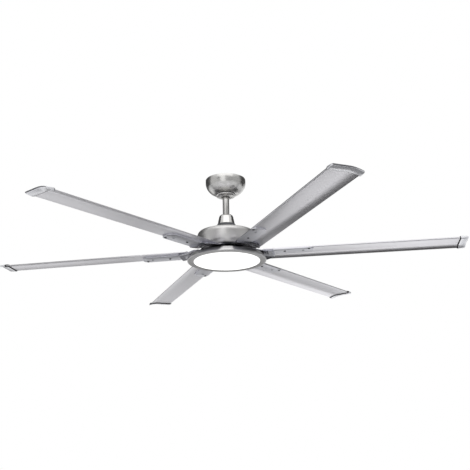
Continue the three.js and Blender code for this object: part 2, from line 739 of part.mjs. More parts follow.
function rodClip() {
  const low = rodPinHeight - CLIP_LENGTH / 2;
  const high = rodPinHeight + CLIP_LENGTH / 2;
  const wire = disc(CLIP_WIRE_RADIUS, low, high, SCREW_SIDES).translate(clipReach, 0, 0);
  const bend = pinX(CLIP_WIRE_RADIUS, clipReach - CLIP_WIRE_RADIUS, rodPinEnd, high - CLIP_WIRE_RADIUS);
  return join(wire, bend);
}

function yokeSetScrew() {
  const start = ROD_RADIUS + SEAT_GAP;
  return pinY(YOKE_SCREW_RADIUS, start, YOKE_RADIUS + YOKE_SCREW_STAND, yokeScrewHeight);
}

function couplingCover() {
  const height = couplingTop - housingTop - SEAT_GAP;
  const side = couplingShares.map(([out, down]) => [out * COUPLING_RADIUS, couplingTop - down * height]);
  const path = [[ROD_RADIUS + COUPLING_ROD_GAP, couplingTop], ...side];
  return turned(shellOutline(path, COUPLING_WALL), MEDIUM_SIDES);
}

// Motor

function motorHousing() {
  const side = housingShares.map(([out, down]) => [out * HOUSING_RADIUS, housingTop - down * HOUSING_HEIGHT]);
  const path = [[YOKE_RADIUS + SEAT_GAP, housingTop], [HOUSING_TOP_RADIUS, housingTop], ...side];
  const screwHole = disc(HOUSING_SCREW_RADIUS + HOLE_GAP, housingTop - HOUSING_WALL - OVERRUN,
    housingTop + OVERRUN, SCREW_SIDES);
  return cut(turned(shellOutline(path, HOUSING_WALL), LARGE_SIDES),
    ...aroundAxis(screwHole, HOUSING_SCREWS, HOUSING_SCREW_CIRCLE, Math.PI / HOUSING_SCREWS));
}

function housingScrews() {
  const screw = screwDown(HOUSING_SCREW_HEAD_RADIUS, HOUSING_SCREW_HEAD_HEIGHT, HOUSING_SCREW_RADIUS,
    housingTop + SEAT_GAP, yokeFlangeBottom);
  return aroundAxis(screw, HOUSING_SCREWS, HOUSING_SCREW_CIRCLE, Math.PI / HOUSING_SCREWS);
}

function motorShaft() {
  return disc(SHAFT_RADIUS, shaftBottom, yokeFloor - SHAFT_INSET, MEDIUM_SIDES, SHAFT_BORE_RADIUS);
}

function bearing(top) {
  return disc(BEARING_RADIUS, top - BEARING_HEIGHT, top, MEDIUM_SIDES, shaftHoleRadius);
}

function rotorShellTop() {
  const bossTop = rotorTop + ROTOR_BOSS_HEIGHT;
  const shell = turned([
    [bearingHoleRadius, bossTop],
    [ROTOR_BOSS_RADIUS, bossTop],
    [ROTOR_BOSS_RADIUS, rotorTop],
    [ROTOR_RADIUS, rotorTop],
    [ROTOR_RADIUS, rotorRimTop],
    [rotorRimRadius, rotorRimTop],
    [rotorRimRadius, rotorRimBottom],
    [ROTOR_RADIUS - ROTOR_SKIRT_WALL, rotorRimBottom],
    [ROTOR_RADIUS - ROTOR_SKIRT_WALL, rotorPlateBottom],
    [bearingHoleRadius, rotorPlateBottom],
  ], MEDIUM_SIDES);
  const hole = disc(ROTOR_SCREW_RADIUS + HOLE_GAP, rotorRimBottom - OVERRUN, rotorRimTop + OVERRUN, SCREW_SIDES);
  return cut(shell, ...aroundAxis(hole, ROTOR_SCREWS, rotorScrewCircle));
}

function magnetRing() {
  return disc(magnetRadius, rotorRimTop, rotorPlateBottom - MAGNET_INSET, MEDIUM_SIDES, magnetBore);
}

function hubScrewSpots(piece) {
  const spots = [];
  for (let arm = 0; arm < ARMS; arm++) {
    for (const side of [-1, 1]) {
      const placed = piece.clone().translate(HUB_SCREW_CIRCLE, (side * HUB_SCREW_SPACING) / 2, 0);
      spots.push(placed.rotateZ((arm * 2 * Math.PI) / ARMS));
    }
  }
  return spots;
}

function rotorShellBottom() {
  const shell = turned([
    [bearingHoleRadius, rotorFloorBottom - ROTOR_BOSS_HEIGHT],
    [ROTOR_BOSS_RADIUS, rotorFloorBottom - ROTOR_BOSS_HEIGHT],
    [ROTOR_BOSS_RADIUS, rotorFloorBottom],
    [NECK_RADIUS, rotorFloorBottom],
    [NECK_RADIUS, neckBottom],
    [NECK_FLANGE_RADIUS, neckBottom],
    [NECK_FLANGE_RADIUS, neckFlangeTop],
    [NECK_RADIUS + NECK_WALL, neckFlangeTop],
    [NECK_RADIUS + NECK_WALL, rotorFloorBottom],
    [rotorRimRadius, rotorFloorBottom],
    [rotorRimRadius, rotorFloorTop],
    [bearingHoleRadius, rotorFloorTop],
  ], MEDIUM_SIDES);
  const neckHole = disc(HUB_SCREW_RADIUS + HOLE_GAP, neckBottom - OVERRUN, neckFlangeTop + OVERRUN, SCREW_SIDES);
  const screw = screwUp(ROTOR_SCREW_HEAD_RADIUS, ROTOR_SCREW_HEAD_HEIGHT, ROTOR_SCREW_RADIUS,
    rotorFloorBottom, rotorRimTop);
  const drilled = cut(shell, ...hubScrewSpots(neckHole));
  return join(drilled, ...aroundAxis(screw, ROTOR_SCREWS, rotorScrewCircle));
}

function statorCore() {
  const shape = new THREE.Shape();
  const pitch = (2 * Math.PI) / CORE_TEETH;
  const neckOuter = coreRadius - SHOE_DEPTH;
  const toothAngle = (radius) => Math.asin(TOOTH_WIDTH / 2 / radius);
  const corners = [
    [CORE_HUB_RADIUS, -toothAngle(CORE_HUB_RADIUS)],
    [neckOuter, -toothAngle(neckOuter)],
    [coreRadius - SHOE_DEPTH / 2, -SHOE_ANGLE / 2],
    [coreRadius, -SHOE_ANGLE / 2],
    [coreRadius, 0],
    [coreRadius, SHOE_ANGLE / 2],
    [coreRadius - SHOE_DEPTH / 2, SHOE_ANGLE / 2],
    [neckOuter, toothAngle(neckOuter)],
    [CORE_HUB_RADIUS, toothAngle(CORE_HUB_RADIUS)],
  ];
  for (let tooth = 0; tooth < CORE_TEETH; tooth++) {
    for (const [radius, offset] of corners) {
      const angle = tooth * pitch + offset;
      const place = [radius * Math.cos(angle), radius * Math.sin(angle)];
      if (shape.curves.length === 0 && tooth === 0 && radius === CORE_HUB_RADIUS && offset < 0) {
        shape.moveTo(...place);
      } else {
        shape.lineTo(...place);
      }
    }
  }
  const bore = new THREE.Path();
  bore.absarc(0, 0, shaftHoleRadius, 0, 2 * Math.PI, true);
  shape.holes.push(bore);
  return extruded(shape, CORE_HEIGHT, MEDIUM_SIDES / 2).translate(0, 0, coreMiddle - CORE_HEIGHT / 2);
}

function statorWindings() {
  const inner = CORE_HUB_RADIUS + COIL_INSET;
  const outer = coreRadius - SHOE_DEPTH - COIL_INSET;
  const holeHalf = TOOTH_WIDTH / 2 + SEAT_GAP;
  const holeHeight = CORE_HEIGHT / 2 + SEAT_GAP;
  const rectangle = (y, z) => [[-y, -z], [y, -z], [y, z], [-y, z]];
  const shape = shapeOf(rectangle(holeHalf + COIL_SIDE, holeHeight + COIL_SIDE - SEAT_GAP * 2));
  shape.holes.push(shapeOf(rectangle(holeHalf, holeHeight)));
  const coil = alongX(shape, inner, outer).translate(0, 0, coreMiddle);
  const jumperLow = coreMiddle + holeHeight;
  const jumper = disc(inner + JUMPER_WIDTH / 2, jumperLow, jumperLow + JUMPER_HEIGHT, MEDIUM_SIDES,
    inner - JUMPER_WIDTH / 2);
  return join(jumper, ...aroundAxis(coil, CORE_TEETH, 0));
}

// The cable lies beside the pins that cross the rod
function leadCable() {
  const offset = ROD_PIN_RADIUS + WIRE_PIN_GAP + WIRE_RADIUS;
  const cable = disc(WIRE_RADIUS, shaftBottom - WIRE_STAND, rodTop + WIRE_STAND, SCREW_SIDES);
  return cable.translate(0, offset, 0);
}

// Ring, brackets and blades

function hubRing() {
  const edge = HUB_RING_RADIUS - HUB_RING_CHAMFER;
  const ring = turned([
    [NECK_RADIUS, hubRingBottom],
    [edge, hubRingBottom],
    [HUB_RING_RADIUS, hubRingBottom + HUB_RING_CHAMFER],
    [HUB_RING_RADIUS, hubRingTop - HUB_RING_CHAMFER],
    [edge, hubRingTop],
    [NECK_RADIUS, hubRingTop],
  ], LARGE_SIDES);
  const hole = disc(HUB_SCREW_RADIUS + HOLE_GAP, hubRingBottom - OVERRUN, hubRingTop + OVERRUN, SCREW_SIDES);
  return cut(ring, ...hubScrewSpots(hole));
}

// Blade section: middle line, half thickness and outline grown by a set amount
function bladeMiddle(across) {
  const share = Math.max(0, (across - BLADE_KNEE) / (BLADE_TRAILING - BLADE_KNEE));
  return -BLADE_FLAP_DROP * share ** 2;
}

function bladeHalf(across) {
  const share = Math.max(0, (across - BLADE_KNEE) / (BLADE_TRAILING - BLADE_KNEE));
  return THREE.MathUtils.lerp(BLADE_THICKNESS, BLADE_EDGE_THICKNESS, share) / 2;
}

const flapStations = [BLADE_KNEE];
for (let i = 1; i <= FLAP_STEPS; i++) {
  flapStations.push(THREE.MathUtils.lerp(BLADE_KNEE, BLADE_TRAILING, i / FLAP_STEPS));
}

function bladeOutline(grown) {
  const noseRadius = BLADE_THICKNESS / 2;
  const noseCentre = BLADE_LEADING + noseRadius;
  const under = flapStations.map((y) => [y, bladeMiddle(y) - bladeHalf(y) - grown]);
  const over = flapStations.map((y) => [y, bladeMiddle(y) + bladeHalf(y) + grown]);
  under.at(-1)[0] += grown;
  over.at(-1)[0] += grown;
  const nose = [];
  for (let i = 0; i <= NOSE_STEPS; i++) {
    const angle = Math.PI / 2 + (i / NOSE_STEPS) * Math.PI;
    const reach = noseRadius + grown;
    nose.push([noseCentre + reach * Math.cos(angle), reach * Math.sin(angle)]);
  }
  return [...under, ...over.reverse(), ...nose];
}

function chamberOutline(from, to, stations) {
  const line = Array.from({ length: stations }, (_, i) => THREE.MathUtils.lerp(from, to, i / (stations - 1)));
  const under = line.map((y) => [y, bladeMiddle(y) - bladeHalf(y) + BLADE_WALL]);
  const over = line.map((y) => [y, bladeMiddle(y) + bladeHalf(y) - BLADE_WALL]);
  return [...under, ...over.reverse()];
}

const bladeEnd = TIP_RADIUS - CAP_END_WALL - SEAT_GAP;
const bladeScrewPlaces = bladeScrewShares.map(([outShare, acrossShare]) => ({
  out: THREE.MathUtils.lerp(BLADE_ROOT_RADIUS, BRACKET_TIP_RADIUS, outShare),
  across: THREE.MathUtils.lerp(BRACKET_LEADING, BRACKET_TRAILING, acrossShare),
}));
const bladeSeat = -BLADE_THICKNESS / 2 - SEAT_GAP;
const bracketSeatRadius = BLADE_ROOT_RADIUS - BRACKET_SEAT_LEAD;

function blade() {
  const noseCentre = BLADE_LEADING + BLADE_THICKNESS / 2;
  const chambers = [
    chamberOutline(noseCentre, BLADE_WEB - BLADE_WALL / 2, 2),
    chamberOutline(BLADE_WEB + BLADE_WALL / 2, BLADE_KNEE - BLADE_WALL / 2, 2),
    chamberOutline(BLADE_KNEE + BLADE_WALL / 2, BLADE_CHAMBER_END, 4),
  ].map((outline) => alongX(shapeOf(outline), BLADE_ROOT_RADIUS - OVERRUN, bladeEnd + OVERRUN));
  const hole = disc(BLADE_SCREW_RADIUS + HOLE_GAP, -BLADE_THICKNESS, 0, SCREW_SIDES);
  const holes = bladeScrewPlaces.map(({ out, across }) => hole.clone().translate(out, across, 0));
  return cut(alongX(shapeOf(bladeOutline(0)), BLADE_ROOT_RADIUS, bladeEnd), ...chambers, ...holes);
}

function bladeCap() {
  const start = TIP_RADIUS - CAP_LENGTH;
  const wall = TIP_RADIUS - CAP_END_WALL;
  const sections = [[start, CAP_RIM_PROUD], [wall, CAP_WALL_PROUD], [TIP_RADIUS, CAP_TIP_PROUD]];
  const shell = lofted(sections.map(([out, proud]) => {
    return bladeOutline(proud).map(([across, up]) => [out, across, up]);
  }));
  const hollow = alongX(shapeOf(bladeOutline(SEAT_GAP)), start - OVERRUN, wall);
  const nubStart = TIP_RADIUS - CAP_END_WALL / 2;
  const nub = pinX(CAP_NUB_RADIUS, nubStart, TIP_RADIUS + CAP_NUB_HEIGHT, 0, SCREW_SIDES);
  return join(cut(shell, hollow), nub.translate(0, (BLADE_LEADING + BLADE_TRAILING) / 2 - CAP_NUB_SHIFT, 0));
}

// How far the blade's underside falls below its flat part
function flapFall(across) {
  return bladeMiddle(across) - bladeHalf(across) + BLADE_THICKNESS / 2;
}

// Bracket's top face: flat under the ring, sloping down, then along the underside of the blade
function bracketTop(out, across) {
  const slope = (out - BRACKET_BEND_RADIUS) / (bracketSeatRadius - BRACKET_BEND_RADIUS);
  const seat = bladeHeight + bladeSeat - out * Math.tan(BLADE_DROOP);
  const level = THREE.MathUtils.lerp(bracketRootTop, seat, THREE.MathUtils.clamp(slope, 0, 1));
  return level + flapFall(across);
}

// Bracket's depth at each distance out: thickest at the outer end of its shoulder
const bracketDepths = [
  [BRACKET_INNER_RADIUS - OVERRUN, BRACKET_GAUGE],
  [BRACKET_BEND_RADIUS, BRACKET_GAUGE],
  [bracketSeatRadius, BRACKET_GAUGE],
  [SHOULDER_OUTER_RADIUS - SHOULDER_RUNOUT, SHOULDER_DEPTH],
  [SHOULDER_OUTER_RADIUS, BRACKET_GAUGE],
  [BRACKET_TIP_RADIUS + OVERRUN, BRACKET_GAUGE],
];

function bracketDepth(out) {
  const next = bracketDepths.findIndex(([station]) => station > out);
  const [start, startDepth] = bracketDepths[next - 1];
  const [end, endDepth] = bracketDepths[next];
  return THREE.MathUtils.lerp(startDepth, endDepth, (out - start) / (end - start));
}

function bladeBracket() {
  const stations = [BRACKET_LEADING - OVERRUN, ...flapStations];
  const bent = lofted(bracketDepths.map(([out, depth]) => {
    const over = stations.map((across) => [out, across, bracketTop(out, across)]);
    const under = over.map(([, across, height]) => [out, across, height - depth]);
    return [...under, ...over.reverse()];
  }));
  const plan = new THREE.Shape();
  plan.moveTo(BRACKET_INNER_RADIUS, -BRACKET_ROOT_HALF);
  plan.lineTo(BRACKET_BEND_RADIUS, -BRACKET_ROOT_HALF);
  plan.lineTo(bracketSeatRadius, BRACKET_LEADING);
  plan.lineTo(BRACKET_TIP_RADIUS - BRACKET_TIP_CORNER, BRACKET_LEADING);
  plan.quadraticCurveTo(BRACKET_TIP_RADIUS, BRACKET_LEADING, BRACKET_TIP_RADIUS,
    BRACKET_LEADING + BRACKET_TIP_CORNER);
  plan.quadraticCurveTo(BRACKET_TIP_RADIUS, BRACKET_TRAILING, BRACKET_TIP_RADIUS - 2 * BRACKET_TIP_CORNER,
    BRACKET_TRAILING);
  plan.lineTo(SHOULDER_OUTER_RADIUS, BRACKET_TRAILING);
  plan.quadraticCurveTo(SHOULDER_OUTER_RADIUS, SHOULDER_TURN_REACH, SHOULDER_TURN_RADIUS, SHOULDER_REACH);
  plan.lineTo(SHOULDER_INNER_RADIUS, SHOULDER_REACH);
  plan.quadraticCurveTo(SHOULDER_INNER_RADIUS, BRACKET_ROOT_HALF, BRACKET_INNER_RADIUS, BRACKET_ROOT_HALF);
  const low = lensFace;
  const high = hubRingTop;
  const upright = extruded(plan, high - low).translate(0, 0, low);
  const hubScrew = screwUp(HUB_SCREW_HEAD_RADIUS, HUB_SCREW_HEAD_HEIGHT, HUB_SCREW_RADIUS,
    bracketRootBottom, neckFlangeTop);
  const bladeScrewTop = BLADE_WALL - BLADE_THICKNESS / 2 + SEAT_GAP;
  const screws = [-1, 1].map((side) =>
    hubScrew.clone().translate(HUB_SCREW_CIRCLE, (side * HUB_SCREW_SPACING) / 2, 0));
  for (const { out, across } of bladeScrewPlaces) {
    const seat = bladeSeat - bracketDepth(out - BLADE_SCREW_HEAD_RADIUS);
    const bladeScrew = screwUp(BLADE_SCREW_HEAD_RADIUS, BLADE_SCREW_HEAD_HEIGHT, BLADE_SCREW_RADIUS,
      seat, bladeScrewTop);
    screws.push(bladeScrew.translate(out, across, 0).rotateY(BLADE_DROOP).translate(0, 0, bladeHeight));
  }
  return join(common(bent, upright), ...screws);
}

// Light kit

function lightAdapter() {
  const inside = adapterRadius - ADAPTER_WALL;
  const cup = turned([
    [shaftHoleRadius, adapterTop],
    [adapterRadius, adapterTop],
    [adapterRadius, adapterFlangeTop],
    [adapterFlangeRadius, adapterFlangeTop],
    [adapterFlangeRadius, adapterFlangeBottom],
    [inside, adapterFlangeBottom],
    [inside, adapterTop - ADAPTER_WALL],
    [shaftHoleRadius, adapterTop - ADAPTER_WALL],
  ], MEDIUM_SIDES);
  const hole = disc(PAN_SCREW_RADIUS + HOLE_GAP, adapterFlangeBottom - OVERRUN, adapterFlangeTop + OVERRUN,
    SCREW_SIDES);
  return cut(cup, ...aroundAxis(hole, PAN_SCREWS, panScrewCircle));
}

function shaftNut() {
  const low = adapterCeiling - NUT_HEIGHT;
  const bore = disc(shaftHoleRadius, low - OVERRUN, adapterCeiling + OVERRUN, MEDIUM_SIDES);
  return cut(disc(NUT_RADIUS, low, adapterCeiling, NUT_SIDES), bore);
}

function ledDriver() {
  const middle = NUT_RADIUS + DRIVER_GAP + DRIVER_WIDTH / 2;
  const box = roundedPlate(DRIVER_LENGTH, DRIVER_WIDTH, DRIVER_CORNER, adapterCeiling - DRIVER_HEIGHT,
    adapterCeiling);
  return box.translate(0, middle, 0);
}

function lightPan() {
  const path = [[PAN_HOLE_RADIUS, panTop], [panRadius, panTop], [panRadius, panTop - PAN_DEPTH]];
  const dish = turned(shellOutline(path, PAN_WALL), LARGE_SIDES);
  const post = disc(POST_RADIUS, postBottom, panUnderside + PAN_WALL / 2, SCREW_SIDES);
  const hole = disc(PAN_SCREW_RADIUS + HOLE_GAP, panUnderside - OVERRUN, panTop + OVERRUN, SCREW_SIDES);
  const drilled = cut(dish, ...aroundAxis(hole, PAN_SCREWS, panScrewCircle));
  return join(drilled, ...aroundAxis(post, POSTS, postCircle));
}

function panScrews() {
  const screw = screwUp(PAN_SCREW_HEAD_RADIUS, PAN_SCREW_HEAD_HEIGHT, PAN_SCREW_RADIUS,
    panUnderside - SEAT_GAP, adapterFlangeTop);
  return aroundAxis(screw, PAN_SCREWS, panScrewCircle);
}

// Board with the light-emitting diodes soldered to its underside
function ledBoard() {
  const half = LED_SIZE / 2;
  const chip = block([-half, -half, boardBottom - LED_HEIGHT], [half, half, boardTop - BOARD_THICKNESS / 2]);
  const chips = [];
  for (let ring = 1; ring <= LED_RINGS; ring++) {
    chips.push(...aroundAxis(chip, ring * LEDS_PER_RING, ring * LED_RING_STEP));
  }
  return join(disc(boardRadius, boardBottom, boardTop, LARGE_SIDES), ...chips);
}

function trimRing() {
  const path = [
    [ringTopRadius, panTop],
    [ringRadius, lensFace + RING_CHAMFER + RING_BAND],
    [ringRadius, lensFace + RING_CHAMFER],
    [ringRadius - RING_CHAMFER, lensFace],
    [LENS_RADIUS, lensFace],
  ];
  return turned(shellOutline(path, RING_WALL), LARGE_SIDES);
}

function diffuser() {
  const edge = LENS_RADIUS - SEAT_GAP;
  const flangeTop = lensFlangeBottom + LENS_THICKNESS;
  return turned([
    [0, lensFace],
    [edge, lensFace],
    [edge, lensFlangeBottom],
    [LENS_RADIUS + LENS_FLANGE, lensFlangeBottom],
    [LENS_RADIUS + LENS_FLANGE, flangeTop],
    [edge - LENS_THICKNESS, flangeTop],
    [edge - LENS_THICKNESS, lensFace + LENS_THICKNESS],
    [0, lensFace + LENS_THICKNESS],
  ], LARGE_SIDES);
}

// Assembly
add(fan, 'ceiling_plate', ceilingPlate(), zincSteel);
add(fan, 'hanger_strap', hangerStrap(), zincSteel);
addEach(fan, 'strap_screw', strapScrews(), zincSteel);
add(fan, 'receiver', receiver(), blackPlastic);

add(fan, 'canopy', canopy(), satinNickel);
add(fan, 'canopy_cover', canopyCover(), satinNickel);
addEach(fan, 'canopy_screw', canopyScrews(), zincSteel);

const hanger = new THREE.Group();
fan.add(hanger);
add(hanger, 'hanger_ball', hangerBall(), blackPlastic);
add(hanger, 'ball_pin', ballPin(), zincSteel);
add(hanger, 'ball_set_screw', ballSetScrew(), zincSteel);
add(hanger, 'downrod', downrod(), satinNickel);
add(hanger, 'rod_pin', rodPin(), zincSteel);
add(hanger, 'rod_clip', rodClip(), zincSteel);
add(hanger, 'motor_yoke', motorYoke(), zincSteel);
add(hanger, 'yoke_set_screw', yokeSetScrew(), zincSteel);
add(hanger, 'coupling_cover', couplingCover(), satinNickel);
add(hanger, 'motor_housing', motorHousing(), satinNickel);
addEach(hanger, 'housing_screw', housingScrews(), zincSteel);
add(hanger, 'motor_shaft', motorShaft(), zincSteel);
add(hanger, 'upper_bearing', bearing(rotorTop + ROTOR_BOSS_HEIGHT - BEARING_INSET), zincSteel);
add(hanger, 'lower_bearing', bearing(rotorFloorTop - BEARING_INSET), zincSteel);
add(hanger, 'stator_core', statorCore(), siliconSteel);
add(hanger, 'stator_windings', statorWindings(), copper);
add(hanger, 'lead_cable', leadCable(), wireSleeve);

const lightKit = new THREE.Group();
hanger.add(lightKit);
add(lightKit, 'light_adapter', lightAdapter(), darkMetal);
add(lightKit, 'shaft_nut', shaftNut(), zincSteel);
add(lightKit, 'led_driver', ledDriver(), blackPlastic);
add(lightKit, 'light_pan', lightPan(), satinNickel);
addEach(lightKit, 'pan_screw', panScrews(), zincSteel);
add(lightKit, 'led_board', ledBoard(), whiteBoard);
add(lightKit, 'trim_ring', trimRing(), satinNickel);
add(lightKit, 'diffuser', diffuser(), opalLens);

const rotor = new THREE.Group();
fan.add(rotor);
add(rotor, 'rotor_shell_top', rotorShellTop(), castMetal);
add(rotor, 'magnet_ring', magnetRing(), magnetFerrite);
add(rotor, 'rotor_shell_bottom', rotorShellBottom(), castMetal);
add(rotor, 'hub_ring', hubRing(), castMetal);

const bracketGeometry = bladeBracket();
const bladeGeometry = blade();
const capGeometry = bladeCap();
for (let i = 0; i < ARMS; i++) {
  const arm = new THREE.Group();
  arm.rotation.z = (i * 2 * Math.PI) / ARMS;
  rotor.add(arm);
  add(arm, `blade_bracket_${i + 1}`, bracketGeometry, castMetal);
  const hung = new THREE.Group();
  hung.position.z = bladeHeight;
  hung.rotation.y = BLADE_DROOP;
  arm.add(hung);
  add(hung, `blade_${i + 1}`, bladeGeometry, silverBlade);
  add(hung, `blade_cap_${i + 1}`, capGeometry, satinNickel);
}

export default fan;
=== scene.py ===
import math

import bmesh
import bpy
from mathutils import Matrix, Vector
from mathutils.geometry import interpolate_bezier


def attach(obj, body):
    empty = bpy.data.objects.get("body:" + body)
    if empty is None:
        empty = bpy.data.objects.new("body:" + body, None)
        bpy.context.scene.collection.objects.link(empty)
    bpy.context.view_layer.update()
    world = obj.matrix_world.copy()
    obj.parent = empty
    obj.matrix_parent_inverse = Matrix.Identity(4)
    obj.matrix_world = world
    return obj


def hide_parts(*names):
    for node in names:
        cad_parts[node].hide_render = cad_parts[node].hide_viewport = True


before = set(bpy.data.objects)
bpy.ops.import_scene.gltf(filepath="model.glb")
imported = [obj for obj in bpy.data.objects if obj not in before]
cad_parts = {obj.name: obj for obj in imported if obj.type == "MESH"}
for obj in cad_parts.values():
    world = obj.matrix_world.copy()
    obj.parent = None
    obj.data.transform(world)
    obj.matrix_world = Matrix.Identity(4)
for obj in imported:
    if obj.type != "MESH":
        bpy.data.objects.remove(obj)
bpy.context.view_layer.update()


# Ceiling plate and the hanger strap screwed under it: 2.5 mm steel, pressed and zinc plated,
# so it is pale, slightly blue and clouded. The strap's saddle carries the hanger ball.
def linear(code):
    """An sRGB hex colour in linear light."""
    parts = [int(code[i:i + 2], 16) / 255 for i in (1, 3, 5)]
    return [p / 12.92 if p <= 0.04045 else ((p + 0.055) / 1.055) ** 2.4 for p in parts] + [1.0]


def add(tree, kind, inputs=None, **settings):
    """Adds a node with its settings. An input takes a value or another node's output."""
    made = tree.nodes.new(kind)
    for name, value in settings.items():
        setattr(made, name, value)
    for name, value in (inputs or {}).items():
        if isinstance(value, bpy.types.NodeSocket):
            tree.links.new(value, made.inputs[name])
        else:
            made.inputs[name].default_value = value
    return made


def material_of(name, metallic, roughness):
    """A new material, its node tree and its shader."""
    made = bpy.data.materials.new(name)
    made.use_nodes = True
    shader = made.node_tree.nodes["Principled BSDF"]
    shader.inputs["Metallic"].default_value = metallic
    shader.inputs["Roughness"].default_value = roughness
    return made, made.node_tree, shader


def vary(tree, shader, pattern, colours, roughness, relief_mm=0.0):
    """A pattern's low and high values choose the colour and roughness, and raise the surface."""
    tone = add(tree, "ShaderNodeMix", {0: pattern, 6: linear(colours[0]), 7: linear(colours[1])},
               data_type="RGBA")
    tree.links.new(tone.outputs[2], shader.inputs["Base Color"])
    rough = add(tree, "ShaderNodeMapRange",
                {"Value": pattern, "To Min": roughness[0], "To Max": roughness[1]})
    tree.links.new(rough.outputs[0], shader.inputs["Roughness"])
    if relief_mm:
        bump = add(tree, "ShaderNodeBump", {"Height": pattern, "Distance": relief_mm / 1000})
        tree.links.new(bump.outputs[0], shader.inputs["Normal"])


def speckled(name, metallic, colours, roughness, grain_mm, relief_mm=0.0, stretch=(1, 1, 1)):
    """A finish with an even grain, drawn out along an axis where stretch is small. Grain that is too
    fine to show, such as that of paint or steel, is drawn about 1 mm wide."""
    made, tree, shader = material_of(name, metallic, roughness[0])
    place = add(tree, "ShaderNodeTexCoord")
    scaled = add(tree, "ShaderNodeMapping", {
        "Vector": place.outputs["Object"], "Scale": [1000 / grain_mm * s for s in stretch]})
    grain = add(tree, "ShaderNodeTexNoise", {
        "Vector": scaled.outputs[0], "Scale": 1, "Detail": 4, "Roughness": 0.6})
    vary(tree, shader, grain.outputs[0], colours, roughness, relief_mm)
    return made


def dress(material, *names):
    """Gives CAD nodes a material."""
    for name in names:
        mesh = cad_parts[name].data
        mesh.materials.clear()
        mesh.materials.append(material)


zinc_plate = speckled("zinc_plated_steel", 1.0, ("#9fa2a6", "#c6c8cb"), (0.34, 0.5), grain_mm=6)
dress(zinc_plate, "ceiling_plate", "hanger_strap", "strap_screw_1", "strap_screw_2")


# Remote control receiver: a moulded ABS box stuck under the plate. Its spark-eroded mould leaves
# a fine dull grain.
black_abs = speckled("black_moulded_abs", 0.0, ("#17181a", "#232427"), (0.45, 0.6),
                     grain_mm=0.8, relief_mm=0.05)
dress(black_abs, "receiver")


# Canopy: a bowl spun from steel sheet and satin nickel plated. It closes up against the ceiling
# and slides down the rod once its two screws are out.
SHEET = 1.5
MERGE = 0.001
CANOPY_RADIUS = 80.5
CANOPY_TOP = -0.5
CANOPY_RIM = -12
CANOPY_DEPTH = 54
CANOPY_HOLE = 20


def wire(bm, points, closed=False):
    """A wire through some points, with no edge along the axis, where a turned piece needs none."""
    verts = [bm.verts.new(p) for p in points]
    for a, b in zip(verts, verts[1:] + verts[:1] if closed else verts[1:]):
        if a.co.x > 0 or b.co.x > 0:
            bm.edges.new((a, b))
    return verts


def spun(path, steps, closed=False):
    """A path of (radius, height) points turned about Z, with its seam and poles closed."""
    bm = bmesh.new()
    wire(bm, [(radius, 0, height) for radius, height in path], closed)
    bmesh.ops.spin(bm, geom=bm.verts[:] + bm.edges[:], cent=(0, 0, 0), axis=(0, 0, 1),
                   angle=2 * math.pi, steps=steps, use_merge=True)
    bmesh.ops.remove_doubles(bm, verts=bm.verts, dist=MERGE)
    bmesh.ops.recalc_face_normals(bm, faces=bm.faces)
    return bm


def eased(bm, width, hard=35):
    """Small rounds on the hard edges, which a real edge has and which catch the light."""
    sharp = [e for e in bm.edges if e.is_manifold and math.degrees(e.calc_face_angle(0)) > hard]
    bmesh.ops.bevel(bm, geom=sharp, offset=width, segments=2, profile=0.5, affect="EDGES",
                    material=-1, clamp_overlap=True)


def shell(path, wall, steps=96, edge=0.3):
    """A turned sheet: the path is its outer face, and its wall lies inside."""
    bm = spun(path, steps)
    face = bm.faces[:][0]
    middle = face.calc_center_median()
    if face.normal.dot(Vector((middle.x, middle.y, 0))) < 0 and abs(face.normal.z) < 0.9:
        bmesh.ops.reverse_faces(bm, faces=bm.faces)
    bmesh.ops.solidify(bm, geom=bm.faces[:], thickness=wall)
    eased(bm, edge, hard=60)
    return bm


def bowl(radius, hole, rim, depth, steps):
    """A quarter of an ellipse, from the rim down and in to the hole."""
    turns = [math.radians(90 * step / steps) for step in range(steps + 1)]
    return [(hole + (radius - hole) * math.cos(turn), rim - depth * math.sin(turn))
            for turn in turns]


def mesh_from(bm, name, material):
    """A mesh made of a bmesh, which is freed, in one material."""
    mesh = bpy.data.meshes.new(name)
    bm.to_mesh(mesh)
    bm.free()
    mesh.materials.append(material)
    return mesh


def linked(name, data):
    """A new object of a mesh, lamp or camera, in the scene."""
    made = bpy.data.objects.new(name, data)
    bpy.context.scene.collection.objects.link(made)
    return made


def piece(name, bm, material, sharp=35):
    """Makes an object in metres of a bmesh drawn in millimetres, smooth between its hard edges."""
    bmesh.ops.scale(bm, vec=(0.001, 0.001, 0.001), verts=bm.verts)
    for face in bm.faces:
        face.smooth = True
    mesh = mesh_from(bm, name, material)
    mesh.set_sharp_from_angle(angle=math.radians(sharp))
    return linked(name, mesh)


